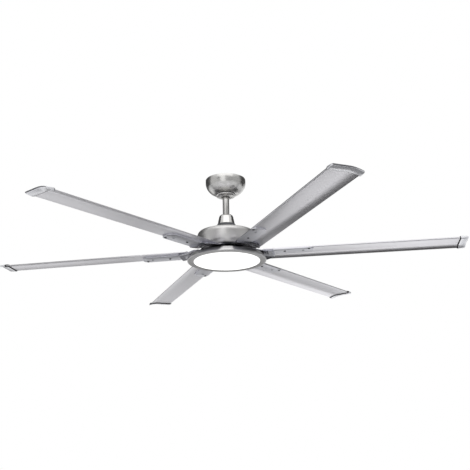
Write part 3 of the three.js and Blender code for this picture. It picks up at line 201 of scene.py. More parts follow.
def round_brushed(name, colours, roughness, line_mm):
    """Metal brushed while it turns about Z: its lines run round it, under faint clouds. The lines are
    drawn coarser than real ones, which are too fine to show."""
    clouds_per_metre = 22
    cloud_share = 0.3
    made, tree, shader = material_of(name, 1.0, roughness[0])
    place = add(tree, "ShaderNodeTexCoord")
    flat = add(tree, "ShaderNodeVectorMath", {0: place.outputs["Object"], 1: (1, 1, 0)},
               operation="MULTIPLY")
    radius = add(tree, "ShaderNodeVectorMath", {0: flat.outputs[0]}, operation="LENGTH")
    split = add(tree, "ShaderNodeSeparateXYZ", {0: place.outputs["Object"]})
    rings = add(tree, "ShaderNodeCombineXYZ", {"X": radius.outputs["Value"], "Z": split.outputs["Z"]})
    scaled = add(tree, "ShaderNodeVectorMath", {0: rings.outputs[0], "Scale": 1000 / line_mm},
                 operation="SCALE")
    lines = add(tree, "ShaderNodeTexNoise", {
        "Vector": scaled.outputs[0], "Scale": 1, "Detail": 5, "Roughness": 0.7})
    cloud = add(tree, "ShaderNodeTexNoise", {
        "Vector": place.outputs["Object"], "Scale": clouds_per_metre, "Detail": 3, "Roughness": 0.6})
    both = add(tree, "ShaderNodeMix", {0: cloud_share, 2: lines.outputs[0], 3: cloud.outputs[0]})
    vary(tree, shader, both.outputs[0], colours, roughness, relief_mm=0.01)
    return made


# Satin plating is a warm grey whose fine rings spread each highlight into a soft band.
satin_nickel = round_brushed("satin_nickel_plate", ("#b9b8b6", "#d8d7d5"), (0.2, 0.34), line_mm=1.2)

canopy_curve = bowl(CANOPY_RADIUS, CANOPY_HOLE, CANOPY_RIM, CANOPY_DEPTH, steps=32)
canopy = piece("canopy_bowl", shell([(CANOPY_RADIUS, CANOPY_TOP)] + canopy_curve, SHEET, steps=128),
               satin_nickel)
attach(canopy, "canopy")
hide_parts("canopy")


# Canopy cover: a small spun dish with the same plating, pressed over the canopy's screws, round the
# rod. A thin black ring at its rim is painted shade, where the gap under the dish falls dark.
COVER_RADIUS = 40
COVER_HOLE = 16.5
COVER_TOP = -63.64
COVER_RIM = -64.64
COVER_DEPTH = 9
COVER_SHEET = 1.2
SHADE_RING_RADIUS = 40.4
SHADE_RING_HOLE = 38
SHADE_RING_TOP = -62.9
SHADE_RING_FOOT = -65.4


def turned(outline, steps=64, edge=0.4):
    """A turned solid from its closed outline."""
    bm = spun(outline, steps, closed=True)
    eased(bm, edge)
    return bm


def tube(hole, radius, foot, top):
    """The outline of a plain tube or ring."""
    return [(hole, foot), (radius, foot), (radius, top), (hole, top)]


cover_curve = bowl(COVER_RADIUS, COVER_HOLE, COVER_RIM, COVER_DEPTH, steps=16)
cover = piece("canopy_cover_dish", shell([(COVER_RADIUS, COVER_TOP)] + cover_curve, COVER_SHEET,
                                         edge=0.2), satin_nickel)
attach(cover, "canopy")
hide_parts("canopy_cover")
# Painted shade: a dull near-black, used on this ring and on the blade caps' rims and the bands inside
# them.
black_rubber = speckled("black_rubber", 0.0, ("#141416", "#202022"), (0.55, 0.7),
                        grain_mm=0.8, relief_mm=0.02)
shade_ring_outline = tube(SHADE_RING_HOLE, SHADE_RING_RADIUS, SHADE_RING_FOOT, SHADE_RING_TOP)
cover_shade_ring = piece("canopy_cover_shade_ring", turned(shade_ring_outline, steps=96, edge=0.2), black_rubber)
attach(cover_shade_ring, "canopy")


# Canopy screws: two small pan-head screws, steel, zinc plated, as most of the fan's screws are. Each
# has a socket for its key, drawn round, and its head stands on the sheet that it holds.
SCREW_STEPS = 18
CANOPY_SCREW_OUT = 29
CANOPY_SCREW_SEAT = -66.1
head_shares = [(1, 0), (1, 0.35), (0.93, 0.62), (0.75, 0.9), (0.5, 1), (0.42, 1), (0.42, 0.45),
               (0, 0.45)]
canopy_screw = (4, 2.2, 2, 10.4)


def edges_of(bm, verts):
    """The edges between some vertices."""
    chosen = set(verts)
    return [e for e in bm.edges if e.verts[0] in chosen and e.verts[1] in chosen]


def screw(bm, place, size, down=False):
    """A screw along Z with its head's seat at the given place, head below unless it is turned over.
    Its size is the head's radius and height, then the shank's radius and length."""
    head, height, shank, length = size
    start = set(bm.verts)
    outline = [(head * r, 0, -height * z) for r, z in head_shares]
    outline += [(0, 0, length), (shank, 0, length), (shank, 0, 0)]
    line = wire(bm, outline, closed=True)
    bmesh.ops.spin(bm, geom=line + edges_of(bm, line), cent=(0, 0, 0), axis=(0, 0, 1),
                   angle=2 * math.pi, steps=SCREW_STEPS, use_merge=True)
    new = [v for v in bm.verts if v not in start]
    bmesh.ops.remove_doubles(bm, verts=new, dist=MERGE)
    new = [v for v in bm.verts if v not in start]
    if down:
        bmesh.ops.rotate(bm, verts=new, cent=(0, 0, 0), matrix=Matrix.Rotation(math.pi, 3, "X"))
    bmesh.ops.translate(bm, verts=new, vec=place)
    return new


def screws(places, size, down=False):
    """Several of one screw in one bmesh."""
    bm = bmesh.new()
    for place in places:
        screw(bm, place, size, down)
    bmesh.ops.recalc_face_normals(bm, faces=bm.faces)
    return bm


for number, out in ((1, CANOPY_SCREW_OUT), (2, -CANOPY_SCREW_OUT)):
    bm = screws([(out, 0, CANOPY_SCREW_SEAT)], canopy_screw)
    made = piece(f"canopy_screw_head_{number}", bm, zinc_plate)
    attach(made, "canopy")
    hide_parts(f"canopy_screw_{number}")


# Hanger ball: moulded black nylon, a little glossier than the receiver, locked to the rod by a
# cross pin and a set screw.
black_nylon = speckled("black_moulded_nylon", 0.0, ("#151517", "#222325"), (0.4, 0.55),
                       grain_mm=1.5, relief_mm=0.04)
dress(black_nylon, "hanger_ball")
dress(zinc_plate, "ball_pin", "ball_set_screw")


# Downrod: steel tube, 26 mm across, polished and satin plated along with the canopy. It is smoother
# than the canopy, so that its highlight is a narrow bright line.
ROD_RADIUS = 13
ROD_HOLE = 11
ROD_TOP = -24.7
ROD_FOOT = -199.7
rod_nickel = round_brushed("satin_nickel_tube", ("#b0afad", "#d0cfcd"), (0.16, 0.26), line_mm=1.6)
rod = piece("downrod_tube", turned(tube(ROD_HOLE, ROD_RADIUS, ROD_FOOT, ROD_TOP)), rod_nickel)
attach(rod, "hanger")
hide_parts("downrod")


# Yoke on top of the motor, with the pin, clip and set screw that hold the rod in it: zinc plated
# steel, hidden under the coupling cover.
dress(zinc_plate, "motor_yoke", "rod_pin", "rod_clip", "yoke_set_screw")


# Coupling cover: a tapered sleeve spun from sheet, the most polished piece, which slides down the
# rod and sits on the housing. A dark grey band round its foot is painted shade for the gap there.
COUPLING_TOP = -149.5
COUPLING_HEIGHT = 60.2
COUPLING_RADIUS = 37
COUPLING_HOLE = 13.6
COLLAR_FOOT = -209.6
COLLAR_WAIST = -200
COLLAR_TOP = -190.5
COLLAR_RADIUS = 37.8
COLLAR_HOLE = 37.2
COLLAR_TOP_RADIUS = 36.9
COLLAR_TOP_HOLE = 36.1
coupling_shares = [(0.54, 0), (0.675, 0.053), (0.757, 0.14), (0.797, 0.259), (0.855, 0.419),
                   (0.895, 0.555), (0.945, 0.789), (1, 1)]


def curved(points, steps=8):
    """A smooth path of (radius, height) points through the given ones."""
    path = [Vector((radius, 0, height)) for radius, height in points]
    spans = [(b - a).length for a, b in zip(path, path[1:])]
    units = [(b - a).normalized() for a, b in zip(path, path[1:])]
    slopes = [units[0]]
    for i in range(1, len(units)):
        mixed = units[i - 1] * spans[i] + units[i] * spans[i - 1]
        slopes.append(mixed.normalized())
    slopes.append(units[-1])
    smooth = []
    for i, span in enumerate(spans):
        a, b = path[i], path[i + 1]
        bend = interpolate_bezier(a, a + slopes[i] * span / 3, b - slopes[i + 1] * span / 3, b, steps + 1)
        smooth += bend[:-1]
    smooth.append(path[-1])
    return [(p.x, p.z) for p in smooth]


coupling_side = curved([
    (COUPLING_RADIUS * r, COUPLING_TOP - COUPLING_HEIGHT * z) for r, z in coupling_shares])
# Polished plating mirrors the room in sharp bands.
polished_nickel = round_brushed("polished_nickel_plate", ("#c0bfbd", "#dad9d7"), (0.08, 0.16),
                                line_mm=2)
coupling = piece("coupling_sleeve", shell([(COUPLING_HOLE, COUPLING_TOP)] + coupling_side, SHEET,
                                          edge=0.25), polished_nickel)
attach(coupling, "hanger")
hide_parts("coupling_cover")
# The band's painted shade is a dull dark grey, lighter than the black one.
gap_shade_grey = speckled("gap_shade_grey", 0.0, ("#434447", "#525356"), (0.5, 0.65),
                       grain_mm=0.8, relief_mm=0.02)
collar = piece("coupling_foot_shade_band", turned([
    (COLLAR_HOLE, COLLAR_FOOT), (COLLAR_RADIUS, COLLAR_FOOT), (COLLAR_RADIUS, COLLAR_WAIST),
    (COLLAR_TOP_RADIUS, COLLAR_TOP), (COLLAR_TOP_HOLE, COLLAR_TOP), (COLLAR_HOLE, COLLAR_WAIST)],
    steps=96, edge=0.15), gap_shade_grey)
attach(collar, "hanger")


# Motor housing: a deep bowl spun from steel sheet, flat on top, with a bright shoulder and a long
# tapered side. Three screws under the coupling cover hold it to the yoke.
HOUSING_TOP = -210
HOUSING_HEIGHT = 82
HOUSING_RADIUS = 115.5
HOUSING_FLAT = 38
HOUSING_HOLE = 19.8
HOUSING_SCREW_CIRCLE = 27
HOUSING_SCREW_SEAT = -209.7
housing_shares = [(0.62, 0.1), (0.9, 0.18), (0.955, 0.21), (0.985, 0.27), (1, 0.4), (0.978, 0.53),
                  (0.915, 0.77), (0.823, 1)]
housing_screw = (3.6, 2, 2, 7)


def circle_of(count, radius, height, first=0):
    """Places spread evenly on a circle round the axis, the first one at an angle in degrees."""
    turns = [math.radians(first + 360 / count * i) for i in range(count)]
    return [(radius * math.cos(turn), radius * math.sin(turn), height) for turn in turns]


housing_side = curved([(HOUSING_FLAT, HOUSING_TOP)] + [
    (HOUSING_RADIUS * r, HOUSING_TOP - HOUSING_HEIGHT * z) for r, z in housing_shares])
# The housing's plating is a little duller than the canopy's, with broader bands.
housing_nickel = round_brushed("satin_nickel_housing", ("#b9b8b7", "#d6d5d4"), (0.28, 0.4), line_mm=1.4)
housing = piece("motor_housing_bowl", shell([(HOUSING_HOLE, HOUSING_TOP)] + housing_side, SHEET,
                                            steps=128), housing_nickel)
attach(housing, "hanger")
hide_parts("motor_housing")
housing_spots = circle_of(3, HOUSING_SCREW_CIRCLE, HOUSING_SCREW_SEAT, first=60)
for number, spot in enumerate(housing_spots):
    bm = screws([spot], housing_screw, down=True)
    made = piece(f"housing_screw_head_{number + 1}", bm, zinc_plate)
    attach(made, "hanger")
    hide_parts(f"housing_screw_{number + 1}")


# Motor: a fixed stator on the hollow shaft inside a turning shell. The shaft and bearings are bright
# ground steel, the core is stacked from 0.5 mm sheet, whose edges make dull rings, and the coils
# are enamelled copper wire, drawn 0.9 mm thick.
ground_steel = speckled("ground_steel", 1.0, ("#a3a5a8", "#c9cbcd"), (0.15, 0.28),
                        grain_mm=0.6, stretch=(0.05, 0.05, 1))
dress(ground_steel, "motor_shaft", "upper_bearing", "lower_bearing")
stacked_steel = speckled("stacked_core_sheets", 1.0, ("#4b4c4f", "#85878a"), (0.45, 0.6),
                         grain_mm=1, relief_mm=0.1, stretch=(0.02, 0.02, 1))
dress(stacked_steel, "stator_core")
copper_wire = speckled("enamelled_copper_wire", 1.0, ("#7c3f1e", "#bf7140"), (0.25, 0.4),
                       grain_mm=0.9, relief_mm=0.2, stretch=(0.3, 0.3, 1))
dress(copper_wire, "stator_windings")
# Pressed ferrite is a dead, dark grey, and the cable's sleeve is smooth black plastic.
ferrite = speckled("pressed_ferrite", 0.0, ("#2c2c2f", "#414145"), (0.6, 0.75),
                   grain_mm=1.2, relief_mm=0.02)
dress(ferrite, "magnet_ring")
cable_sleeve = speckled("black_cable_sleeve", 0.0, ("#1e1e20", "#2b2b2e"), (0.5, 0.6),
                        grain_mm=1, relief_mm=0.01)
dress(cable_sleeve, "lead_cable")


# Rotor shells: die-cast aluminium, dull as cast above and machined on the lower one. Its neck comes
# down out of the housing and ends in a flange.
SHELL_TOP = -265.3
SHELL_FACE = -270.3
SHELL_RADIUS = 89
BEARING_HOLE = 18.3
BEARING_SEAT_RADIUS = 26
BEARING_SEAT_FOOT = -276.3
NECK_HOLE = 60
NECK_RADIUS = 66
FLANGE_RADIUS = 90
FLANGE_TOP = -291
FLANGE_FOOT = -295.7
RIM_SCREW_CIRCLE = 85.5
neck_outline = [
    (BEARING_HOLE, BEARING_SEAT_FOOT), (BEARING_SEAT_RADIUS, BEARING_SEAT_FOOT),
    (BEARING_SEAT_RADIUS, SHELL_FACE), (NECK_HOLE, SHELL_FACE), (NECK_HOLE, FLANGE_FOOT),
    (FLANGE_RADIUS, FLANGE_FOOT), (FLANGE_RADIUS, FLANGE_TOP), (NECK_RADIUS, FLANGE_TOP),
    (NECK_RADIUS, SHELL_FACE), (SHELL_RADIUS, SHELL_FACE), (SHELL_RADIUS, SHELL_TOP),
    (BEARING_HOLE, SHELL_TOP)]
rim_screw = (3, 2, 1.6, 8)
cast_aluminium = speckled("die_cast_aluminium", 1.0, ("#84858a", "#a3a4a8"), (0.4, 0.55),
                          grain_mm=1.5, relief_mm=0.03)
dress(cast_aluminium, "rotor_shell_top")
# Machined aluminium is bright, with the cutter's fine rings.
machined = round_brushed("machined_aluminium", ("#a9aaae", "#c4c5c8"), (0.22, 0.34), line_mm=0.9)
neck = piece("rotor_shell_and_neck", turned(neck_outline, steps=96), machined)
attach(neck, "rotor")
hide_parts("rotor_shell_bottom")
rim_spots = circle_of(6, RIM_SCREW_CIRCLE, SHELL_FACE)
rim_screws = piece("rotor_rim_screws", screws(rim_spots, rim_screw), zinc_plate)
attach(rim_screws, "rotor")


# Hub ring: turned aluminium with a smooth black coat, which reads as a dark line. The brackets'
# screws go up through it into the neck's flange and hold it there.
RING_RADIUS = 105
RING_TOP = -296
RING_FOOT = -302
dark_cast = round_brushed("black_coated_ring", ("#1b1c1e", "#2a2b2e"), (0.3, 0.42), line_mm=1.2)
ring_outline = tube(NECK_HOLE, RING_RADIUS, RING_FOOT, RING_TOP)
ring = piece("hub_ring_disc", turned(ring_outline, steps=128, edge=1.5), dark_cast)
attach(ring, "rotor")
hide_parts("hub_ring")


# Blade brackets: cast steel, painted silver above and on the long tongue under the blade. Under the
# root and the broad shoulder, which slopes down from the ring and follows the rear flap, the underside
# and edges are a darker grey mirror metal: painted shade. Two black screws hold each to the ring, and
# four go up into its blade, one of them zinc plated.
BLADES = 6
BLADE_PITCH = 360 / BLADES
BLADE_HEIGHT = -306
DROOP = math.radians(0.49)
KNEE = 35
TRAILING = 81
FLAP_DROP = 9
THICKNESS = 6
EDGE_THICKNESS = 2.4
SEAT_GAP = 0.3
RING_SEAT = RING_FOOT - SEAT_GAP
BRACKET_GAUGE = 4
BRACKET_ROOT = 66
BRACKET_END = 340
BEND_START = 112
BEND_END = 142
SHOULDER_BACK = 79
SHOULDER_DEPTH = 9
SHOULDER_END = 187
TONGUE_FRONT = -28
TONGUE_BACK = 33
HUB_SCREW_OUT = 80
HUB_SCREW_ACROSS = 14
HUB_SCREW_SEAT = RING_SEAT - BRACKET_GAUGE
hub_screw = (4.5, 2.4, 2.5, 15)
blade_screw = (4.6, 2.2, 2.4, 5.6)
# Corners of the bracket seen from above: distance out, distance across, and size of the round.
bracket_plan = [
    (BRACKET_ROOT, -24, 6), (BEND_START, -24, 4), (BEND_END, TONGUE_FRONT, 8),
    (BRACKET_END, TONGUE_FRONT, 22), (BRACKET_END, TONGUE_BACK, 30), (SHOULDER_END, TONGUE_BACK, 4),
    (184.7, 44.5, 3), (177.8, 56, 3), (166.2, 67.5, 3), (150, SHOULDER_BACK, 4),
    (100, SHOULDER_BACK, 7), (97.9, 54.9, 4), (91.5, 37.8, 4), (80.9, 27.4, 3), (BRACKET_ROOT, 24, 5)]
# Its thickness at distances out.
bracket_depths = [
    (BRACKET_ROOT, BRACKET_GAUGE), (BEND_END, BRACKET_GAUGE), (181, SHOULDER_DEPTH),
    (SHOULDER_END, BRACKET_GAUGE), (BRACKET_END, BRACKET_GAUGE)]
# The blade's screws: distance out and distance across. The third is the zinc plated one.
screw_spots = [(152.6, -1.8), (228.1, 0.1), (299.1, 1), (322.9, -18)]
PALE_SPOT = 2


def half_thickness(across):
    """Half the blade's thickness, which narrows towards the rear edge."""
    share = min(max((across - KNEE) / (TRAILING - KNEE), 0), 1)
    return (THICKNESS + (EDGE_THICKNESS - THICKNESS) * share) / 2


def bent_point(out, across, side, inset):
    """A point of the section, below or above the blade's middle line as side is -1 or 1."""
    share = max((across - KNEE) / (TRAILING - KNEE), 0)
    return (out, across, side * (half_thickness(across) - inset) - FLAP_DROP * share * share)


def bracket_height(out, across=0.0):
    """Height of the bracket's top face: flat at the ring, a smooth slope, then along the blade."""
    blade_seat = BLADE_HEIGHT - THICKNESS / 2 - SEAT_GAP - out * math.tan(DROOP)
    share = min(max((out - BEND_START) / (BEND_END - BEND_START), 0), 1)
    blend = share * share * (3 - 2 * share)
    flap = bent_point(out, across, -1, 0)[2] + THICKNESS / 2
    return RING_SEAT + (blade_seat - RING_SEAT) * blend + flap


def bracket_depth(out):
    """Thickness of the bracket, which is greatest at the outer end of its shoulder."""
    for (start, first), (end, last) in zip(bracket_depths, bracket_depths[1:]):
        if out <= end:
            return first + (last - first) * (out - start) / (end - start)
    return bracket_depths[-1][1]


def bracket():
    """The bracket of the first blade, which lies along +X."""
    bm = bmesh.new()
    corners = [bm.verts.new((x, y, 0)) for x, y, _ in bracket_plan]
    bm.faces.new(corners)
    for corner, (_, _, size) in zip(corners, bracket_plan):
        bmesh.ops.bevel(bm, geom=[corner], offset=size, offset_type="OFFSET", segments=5, profile=0.5,
                        affect="VERTICES", material=-1, clamp_overlap=True)
    # Rows of edges across and along it, close together where it bends.
    rows = [((x, 0, 0), (1, 0, 0)) for x in (*range(106, 190, 3), 240, 300)]
    rows += [((0, y, 0), (0, 1, 0)) for y in range(KNEE + 1, SHOULDER_BACK, 4)]
    for spot, normal in rows:
        bmesh.ops.bisect_plane(bm, geom=bm.verts[:] + bm.edges[:] + bm.faces[:], dist=MERGE,
                               plane_co=spot, plane_no=normal)
    grown = bmesh.ops.extrude_face_region(bm, geom=bm.faces[:])
    lower = [v for v in grown["geom"] if isinstance(v, bmesh.types.BMVert)]
    bmesh.ops.translate(bm, verts=lower, vec=(0, 0, -BRACKET_GAUGE))
    bmesh.ops.recalc_face_normals(bm, faces=bm.faces)
    eased(bm, width=0.6, hard=60)
    for vert in bm.verts:
        x, y, z = vert.co
        vert.co.z = bracket_height(x, y) + z * bracket_depth(x) / BRACKET_GAUGE
    bm.normal_update()
    for face in bm.faces:
        # Faces under and beside the bracket, nearer the hub than the shoulder's end, take the darker
        # metal as painted shade.
        dark = face.normal.z < 0.3 and face.calc_center_median().x < SHOULDER_END
        face.material_index = 1 if dark else 0
    return bm


# Silver paint is pale with a soft sheen, and blackened steel a dull dark grey. The darker smooth grey
# mirror under the shoulder, which turns dark where the room is dark, is painted shade.
bracket_paint = speckled("silver_paint", 0.9, ("#c6c6cc", "#dadadf"), (0.3, 0.42),
                         grain_mm=1.2, relief_mm=0.01)
shoulder_shade_metal = speckled("painted_shade_grey_mirror", 1.0, ("#84848c", "#9b9ba3"), (0.2, 0.3),
                        grain_mm=1.4, relief_mm=0.01)
black_steel = speckled("blackened_steel", 1.0, ("#3a3b3f", "#525357"), (0.3, 0.45), grain_mm=0.8)

for number in range(BLADES):
    turn = Matrix.Rotation(math.radians(BLADE_PITCH * number), 3, "Z")
    bm = bracket()
    bmesh.ops.rotate(bm, verts=bm.verts, cent=(0, 0, 0), matrix=turn)
    made = piece(f"blade_bracket_arm_{number + 1}", bm, bracket_paint)
    made.data.materials.append(shoulder_shade_metal)
    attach(made, "rotor")
    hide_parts(f"blade_bracket_{number + 1}")
    bm = screws([(HUB_SCREW_OUT, side * HUB_SCREW_ACROSS, HUB_SCREW_SEAT) for side in (-1, 1)],
                hub_screw)
    pale = set()
    for spot, (out, across) in enumerate(screw_spots):
        seat = bracket_height(out, across) - bracket_depth(out - blade_screw[0])
        new = screw(bm, (out, across, seat), blade_screw)
        if spot == PALE_SPOT:
            pale.update(new)
    bmesh.ops.recalc_face_normals(bm, faces=bm.faces)
    for face in bm.faces:
        face.material_index = 1 if face.verts[0] in pale else 0
    bmesh.ops.rotate(bm, verts=bm.verts, cent=(0, 0, 0), matrix=turn)
    made = piece(f"bracket_screws_{number + 1}", bm, black_steel)
    made.data.materials.append(zinc_plate)
    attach(made, "rotor")


# Blades: extruded aluminium, anodised silver, so they are pale and even. The die leaves fine lines
# along each blade, the front is a flat box with a round nose, and the rear is a drooping flap.
NOSE = -22
NOSE_SOLID = 3
WALL = 1.3
RIB = 14
FLAP_HOLLOW_END = 62
ROOT = 146
BLADE_END = 910.7
DIE_LINE_MM = 1.6


def hung(bm, number):
    """Turns a bmesh drawn along +X to its blade's place."""
    place = Matrix.Rotation(math.radians(BLADE_PITCH * number), 4, "Z")
    place = place @ Matrix.Translation((0, 0, BLADE_HEIGHT)) @ Matrix.Rotation(DROOP, 4, "Y")
    bmesh.ops.transform(bm, matrix=place, verts=bm.verts)


def chamber(bm, out, left, right, steps):
    """A hollow's closed outline, one wall inside the blade's faces."""
    line = [left + (right - left) * i / steps for i in range(steps + 1)]
    under = [bent_point(out, y, -1, WALL) for y in line]
    over = [bent_point(out, y, 1, WALL) for y in reversed(line)]
    wire(bm, under + over, closed=True)


def skin_loop(bm, out, grown, steps=12):
    """The blade's outline, grown evenly: a round nose, flat faces and the flap."""
    start = set(bm.verts)
    line = [KNEE + (TRAILING - KNEE) * i / steps for i in range(steps + 1)]
    under = [bent_point(out, y, -1, -grown) for y in line]
    over = [bent_point(out, y, 1, -grown) for y in reversed(line)]
    for faces in (under, over):
        tail = max(range(steps + 1), key=lambda i: faces[i][1])
        faces[tail] = (out, TRAILING + grown, faces[tail][2])
    flap = wire(bm, under + over)
    centre = NOSE + THICKNESS / 2
    first = bm.verts.new((out, centre, THICKNESS / 2 + grown))
    made = bmesh.ops.spin(bm, geom=[first], cent=(0, centre, 0), axis=(1, 0, 0), angle=math.pi, steps=10)
    bm.edges.new((made["geom_last"][0], flap[0]))
    bm.edges.new((flap[-1], first))
    return [v for v in bm.verts if v not in start]


def blade():
    """A blade drawn along +X in its own frame, with its three hollow chambers."""
    bm = bmesh.new()
    skin_loop(bm, ROOT, 0)
    chamber(bm, ROOT, NOSE + NOSE_SOLID, RIB - WALL / 2, steps=1)
    chamber(bm, ROOT, RIB + WALL / 2, KNEE - WALL / 2, steps=1)
    chamber(bm, ROOT, KNEE + WALL / 2, FLAP_HOLLOW_END, steps=6)
    bmesh.ops.triangle_fill(bm, edges=bm.edges[:], use_beauty=True)
    grown = bmesh.ops.extrude_face_region(bm, geom=bm.faces[:])
    far = [v for v in grown["geom"] if isinstance(v, bmesh.types.BMVert)]
    bmesh.ops.translate(bm, verts=far, vec=(BLADE_END - ROOT, 0, 0))
    bmesh.ops.recalc_face_normals(bm, faces=bm.faces)
    return bm


def mapped(bm):
    """A UV map in metres, along and across the blade, that its extrusion lines follow."""
    layer = bm.loops.layers.uv.new("along_and_across")
    for face in bm.faces:
        for corner in face.loops:
            corner[layer].uv = (corner.vert.co.x / 1000, corner.vert.co.y / 1000)


# The die's lines, drawn coarser than real ones so that they show, run nearly a metre along the blade,
# and faint clouds lie over them. Both scales are waves in each metre, along and across.
line_scale = (1.2, 1000 / DIE_LINE_MM, 1)
cloud_scale = (6, 24, 1)
cloud_share = 0.35
anodised, tree, shader = material_of("anodised_aluminium", 1.0, 0.3)
place = add(tree, "ShaderNodeUVMap", uv_map="along_and_across")
drawn = add(tree, "ShaderNodeMapping", {"Vector": place.outputs[0], "Scale": line_scale})
lines = add(tree, "ShaderNodeTexNoise", {
    "Vector": drawn.outputs[0], "Scale": 1, "Detail": 4, "Roughness": 0.65})
wide = add(tree, "ShaderNodeMapping", {"Vector": place.outputs[0], "Scale": cloud_scale})
cloud = add(tree, "ShaderNodeTexNoise", {"Vector": wide.outputs[0], "Scale": 1, "Detail": 3})
both = add(tree, "ShaderNodeMix", {0: cloud_share, 2: lines.outputs[0], 3: cloud.outputs[0]})
vary(tree, shader, both.outputs[0], ("#d5d4d9", "#e8e7ea"), (0.24, 0.36), relief_mm=0.01)

for number in range(BLADES):
    bm = blade()
    mapped(bm)
    hung(bm, number)
    made = piece(f"blade_extrusion_{number + 1}", bm, anodised, sharp=30)
    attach(made, "rotor")
    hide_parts(f"blade_{number + 1}")


# Blade end caps: moulded nylon, painted pale silver, pushed over each blade's end. Each stands most
# proud at its rim, narrows to the tip, and ends in a flat plate with a small boss. The rim's inward
# face and a band just inside it are black, and the plate and boss dark grey: all painted shade.
TIP = 915
CAP_START = 887
CAP_WALL = 911
CAP_PROUD = 3.2
CAP_GAP = 0.3
SHADE_BAND_LENGTH = 3.2
SHADE_BAND_GAP = 0.1
SHADE_BAND_PROUD = 2
BOSS_RADIUS = 2.2
BOSS_TIP_RADIUS = 1.9
BOSS_LENGTH = 2.6
BOSS_STAND = 0.3
BOSS_ACROSS = 19.5
# Sections of cap and of the black band inside it: distance out, and how far each stands off the
# blade's outline.
cap_sections = [(TIP, -0.6), (CAP_WALL, 1.4), (CAP_START, CAP_PROUD), (CAP_START, CAP_GAP),
                (CAP_WALL, CAP_GAP)]
shade_band_sections = [(CAP_START - SHADE_BAND_LENGTH, SHADE_BAND_GAP), (CAP_START - SHADE_BAND_LENGTH, SHADE_BAND_PROUD),
                 (CAP_START, SHADE_BAND_PROUD), (CAP_START, SHADE_BAND_GAP)]
# The paint is paler than the blade and has a soft sheen. The end plate's dull dark grey is painted shade.
cap_paint = speckled("pale_silver_paint", 0.7, ("#dadade", "#e9e9ec"), (0.22, 0.34), grain_mm=0.5)
end_shade_grey = speckled("painted_end_shade_grey", 0.0, ("#47474b", "#58585c"), (0.35, 0.5),
                       grain_mm=0.5, relief_mm=0.02)


def skinned(sections, closed=False):
    """The blade's outline carried through sections, each a distance out and an even growth."""
    bm = bmesh.new()
    loops = [skin_loop(bm, out, grown) for out, grown in sections]
    wires = [edges_of(bm, loop) for loop in loops]
    for near, far in zip(wires, wires[1:] + wires[:1] if closed else wires[1:]):
        bmesh.ops.bridge_loops(bm, edges=near + far)
    if not closed:
        for end in (wires[0], wires[-1]):
            bmesh.ops.triangle_fill(bm, edges=end, use_beauty=True)
    bmesh.ops.recalc_face_normals(bm, faces=bm.faces)
    return bm


def boss():
    """The boss on the first blade's end plate, drawn along +X."""
    bm = bmesh.new()
    bmesh.ops.create_cone(bm, cap_ends=True, segments=24, radius1=BOSS_RADIUS,
                          radius2=BOSS_TIP_RADIUS, depth=BOSS_LENGTH)
    bmesh.ops.rotate(bm, verts=bm.verts, cent=(0, 0, 0), matrix=Matrix.Rotation(math.pi / 2, 3, "Y"))
    bmesh.ops.translate(bm, verts=bm.verts, vec=(TIP + BOSS_STAND, BOSS_ACROSS, 0))
    return bm


for number in range(BLADES):
    bm = skinned(cap_sections)
    for face in bm.faces:
        out = face.calc_center_median().x
        # The inward rim faces take the painted-shade black, and the end faces the painted-shade grey.
        face.material_index = 1 if out < CAP_START + 0.1 else 2 if out > TIP - 0.1 else 0
    eased(bm, width=0.3, hard=60)
    hung(bm, number)
    made = piece(f"blade_end_cap_{number + 1}", bm, cap_paint, sharp=30)
    made.data.materials.append(black_rubber)
    made.data.materials.append(end_shade_grey)
    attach(made, "rotor")
    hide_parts(f"blade_cap_{number + 1}")
    bm = boss()
    hung(bm, number)
    made = piece(f"end_cap_boss_{number + 1}", bm, end_shade_grey)
    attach(made, "rotor")
    # A black band just inside the cap's rim: painted shade.
    bm = skinned(shade_band_sections, closed=True)
    hung(bm, number)
    made = piece(f"end_cap_shade_band_{number + 1}", bm, black_rubber, sharp=30)
    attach(made, "rotor")


# Light kit inside: a pressed steel adapter on the shaft, its nut, and the potted driver in it. The
# adapter's powder coat is black, dull and faintly rough.
ADAPTER_HOLE = 10.8
ADAPTER_RADIUS = 56
ADAPTER_FLANGE = 68
ADAPTER_TOP = -303
ADAPTER_FOOT = -319.7
ADAPTER_SHEET = 2
adapter_path = [(ADAPTER_HOLE, ADAPTER_TOP), (ADAPTER_RADIUS, ADAPTER_TOP),
                (ADAPTER_RADIUS, ADAPTER_FOOT), (ADAPTER_FLANGE, ADAPTER_FOOT)]
black_powder = speckled("black_powder_coat", 0.0, ("#161719", "#242528"), (0.4, 0.52),
                        grain_mm=0.9, relief_mm=0.04)
adapter = piece("light_adapter_cup", shell(adapter_path, ADAPTER_SHEET), black_powder)
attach(adapter, "hanger")
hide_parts("light_adapter")
dress(zinc_plate, "shaft_nut")
dress(black_abs, "led_driver")


# Light pan: a shallow spun dish, satin nickel plated, with the LED board under it. Three zinc plated
# screws hold it to the adapter's flange.
PAN_HOLE = 30
PAN_RADIUS = 142.5
PAN_TOP = -322
PAN_RIM = -334
PAN_SCREW_CIRCLE = 62
PAN_SCREW_SEAT = -323.8
pan_path = [(PAN_HOLE, PAN_TOP), (PAN_RADIUS, PAN_TOP), (PAN_RADIUS, PAN_RIM)]
pan_screw = (3.6, 2, 2, 6)
pan = piece("light_pan_dish", shell(pan_path, SHEET, steps=128), satin_nickel)
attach(pan, "hanger")
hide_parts("light_pan")
for number, spot in enumerate(circle_of(3, PAN_SCREW_CIRCLE, PAN_SCREW_SEAT)):
    made = piece(f"pan_screw_head_{number + 1}", screws([spot], pan_screw), zinc_plate)
    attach(made, "hanger")
    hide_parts(f"pan_screw_{number + 1}")
# The board's white solder mask is an even, slightly glossy white.
white_board = speckled("white_solder_mask", 0.0, ("#e6e6e2", "#f2f2ee"), (0.4, 0.5), grain_mm=2)
dress(white_board, "led_board")


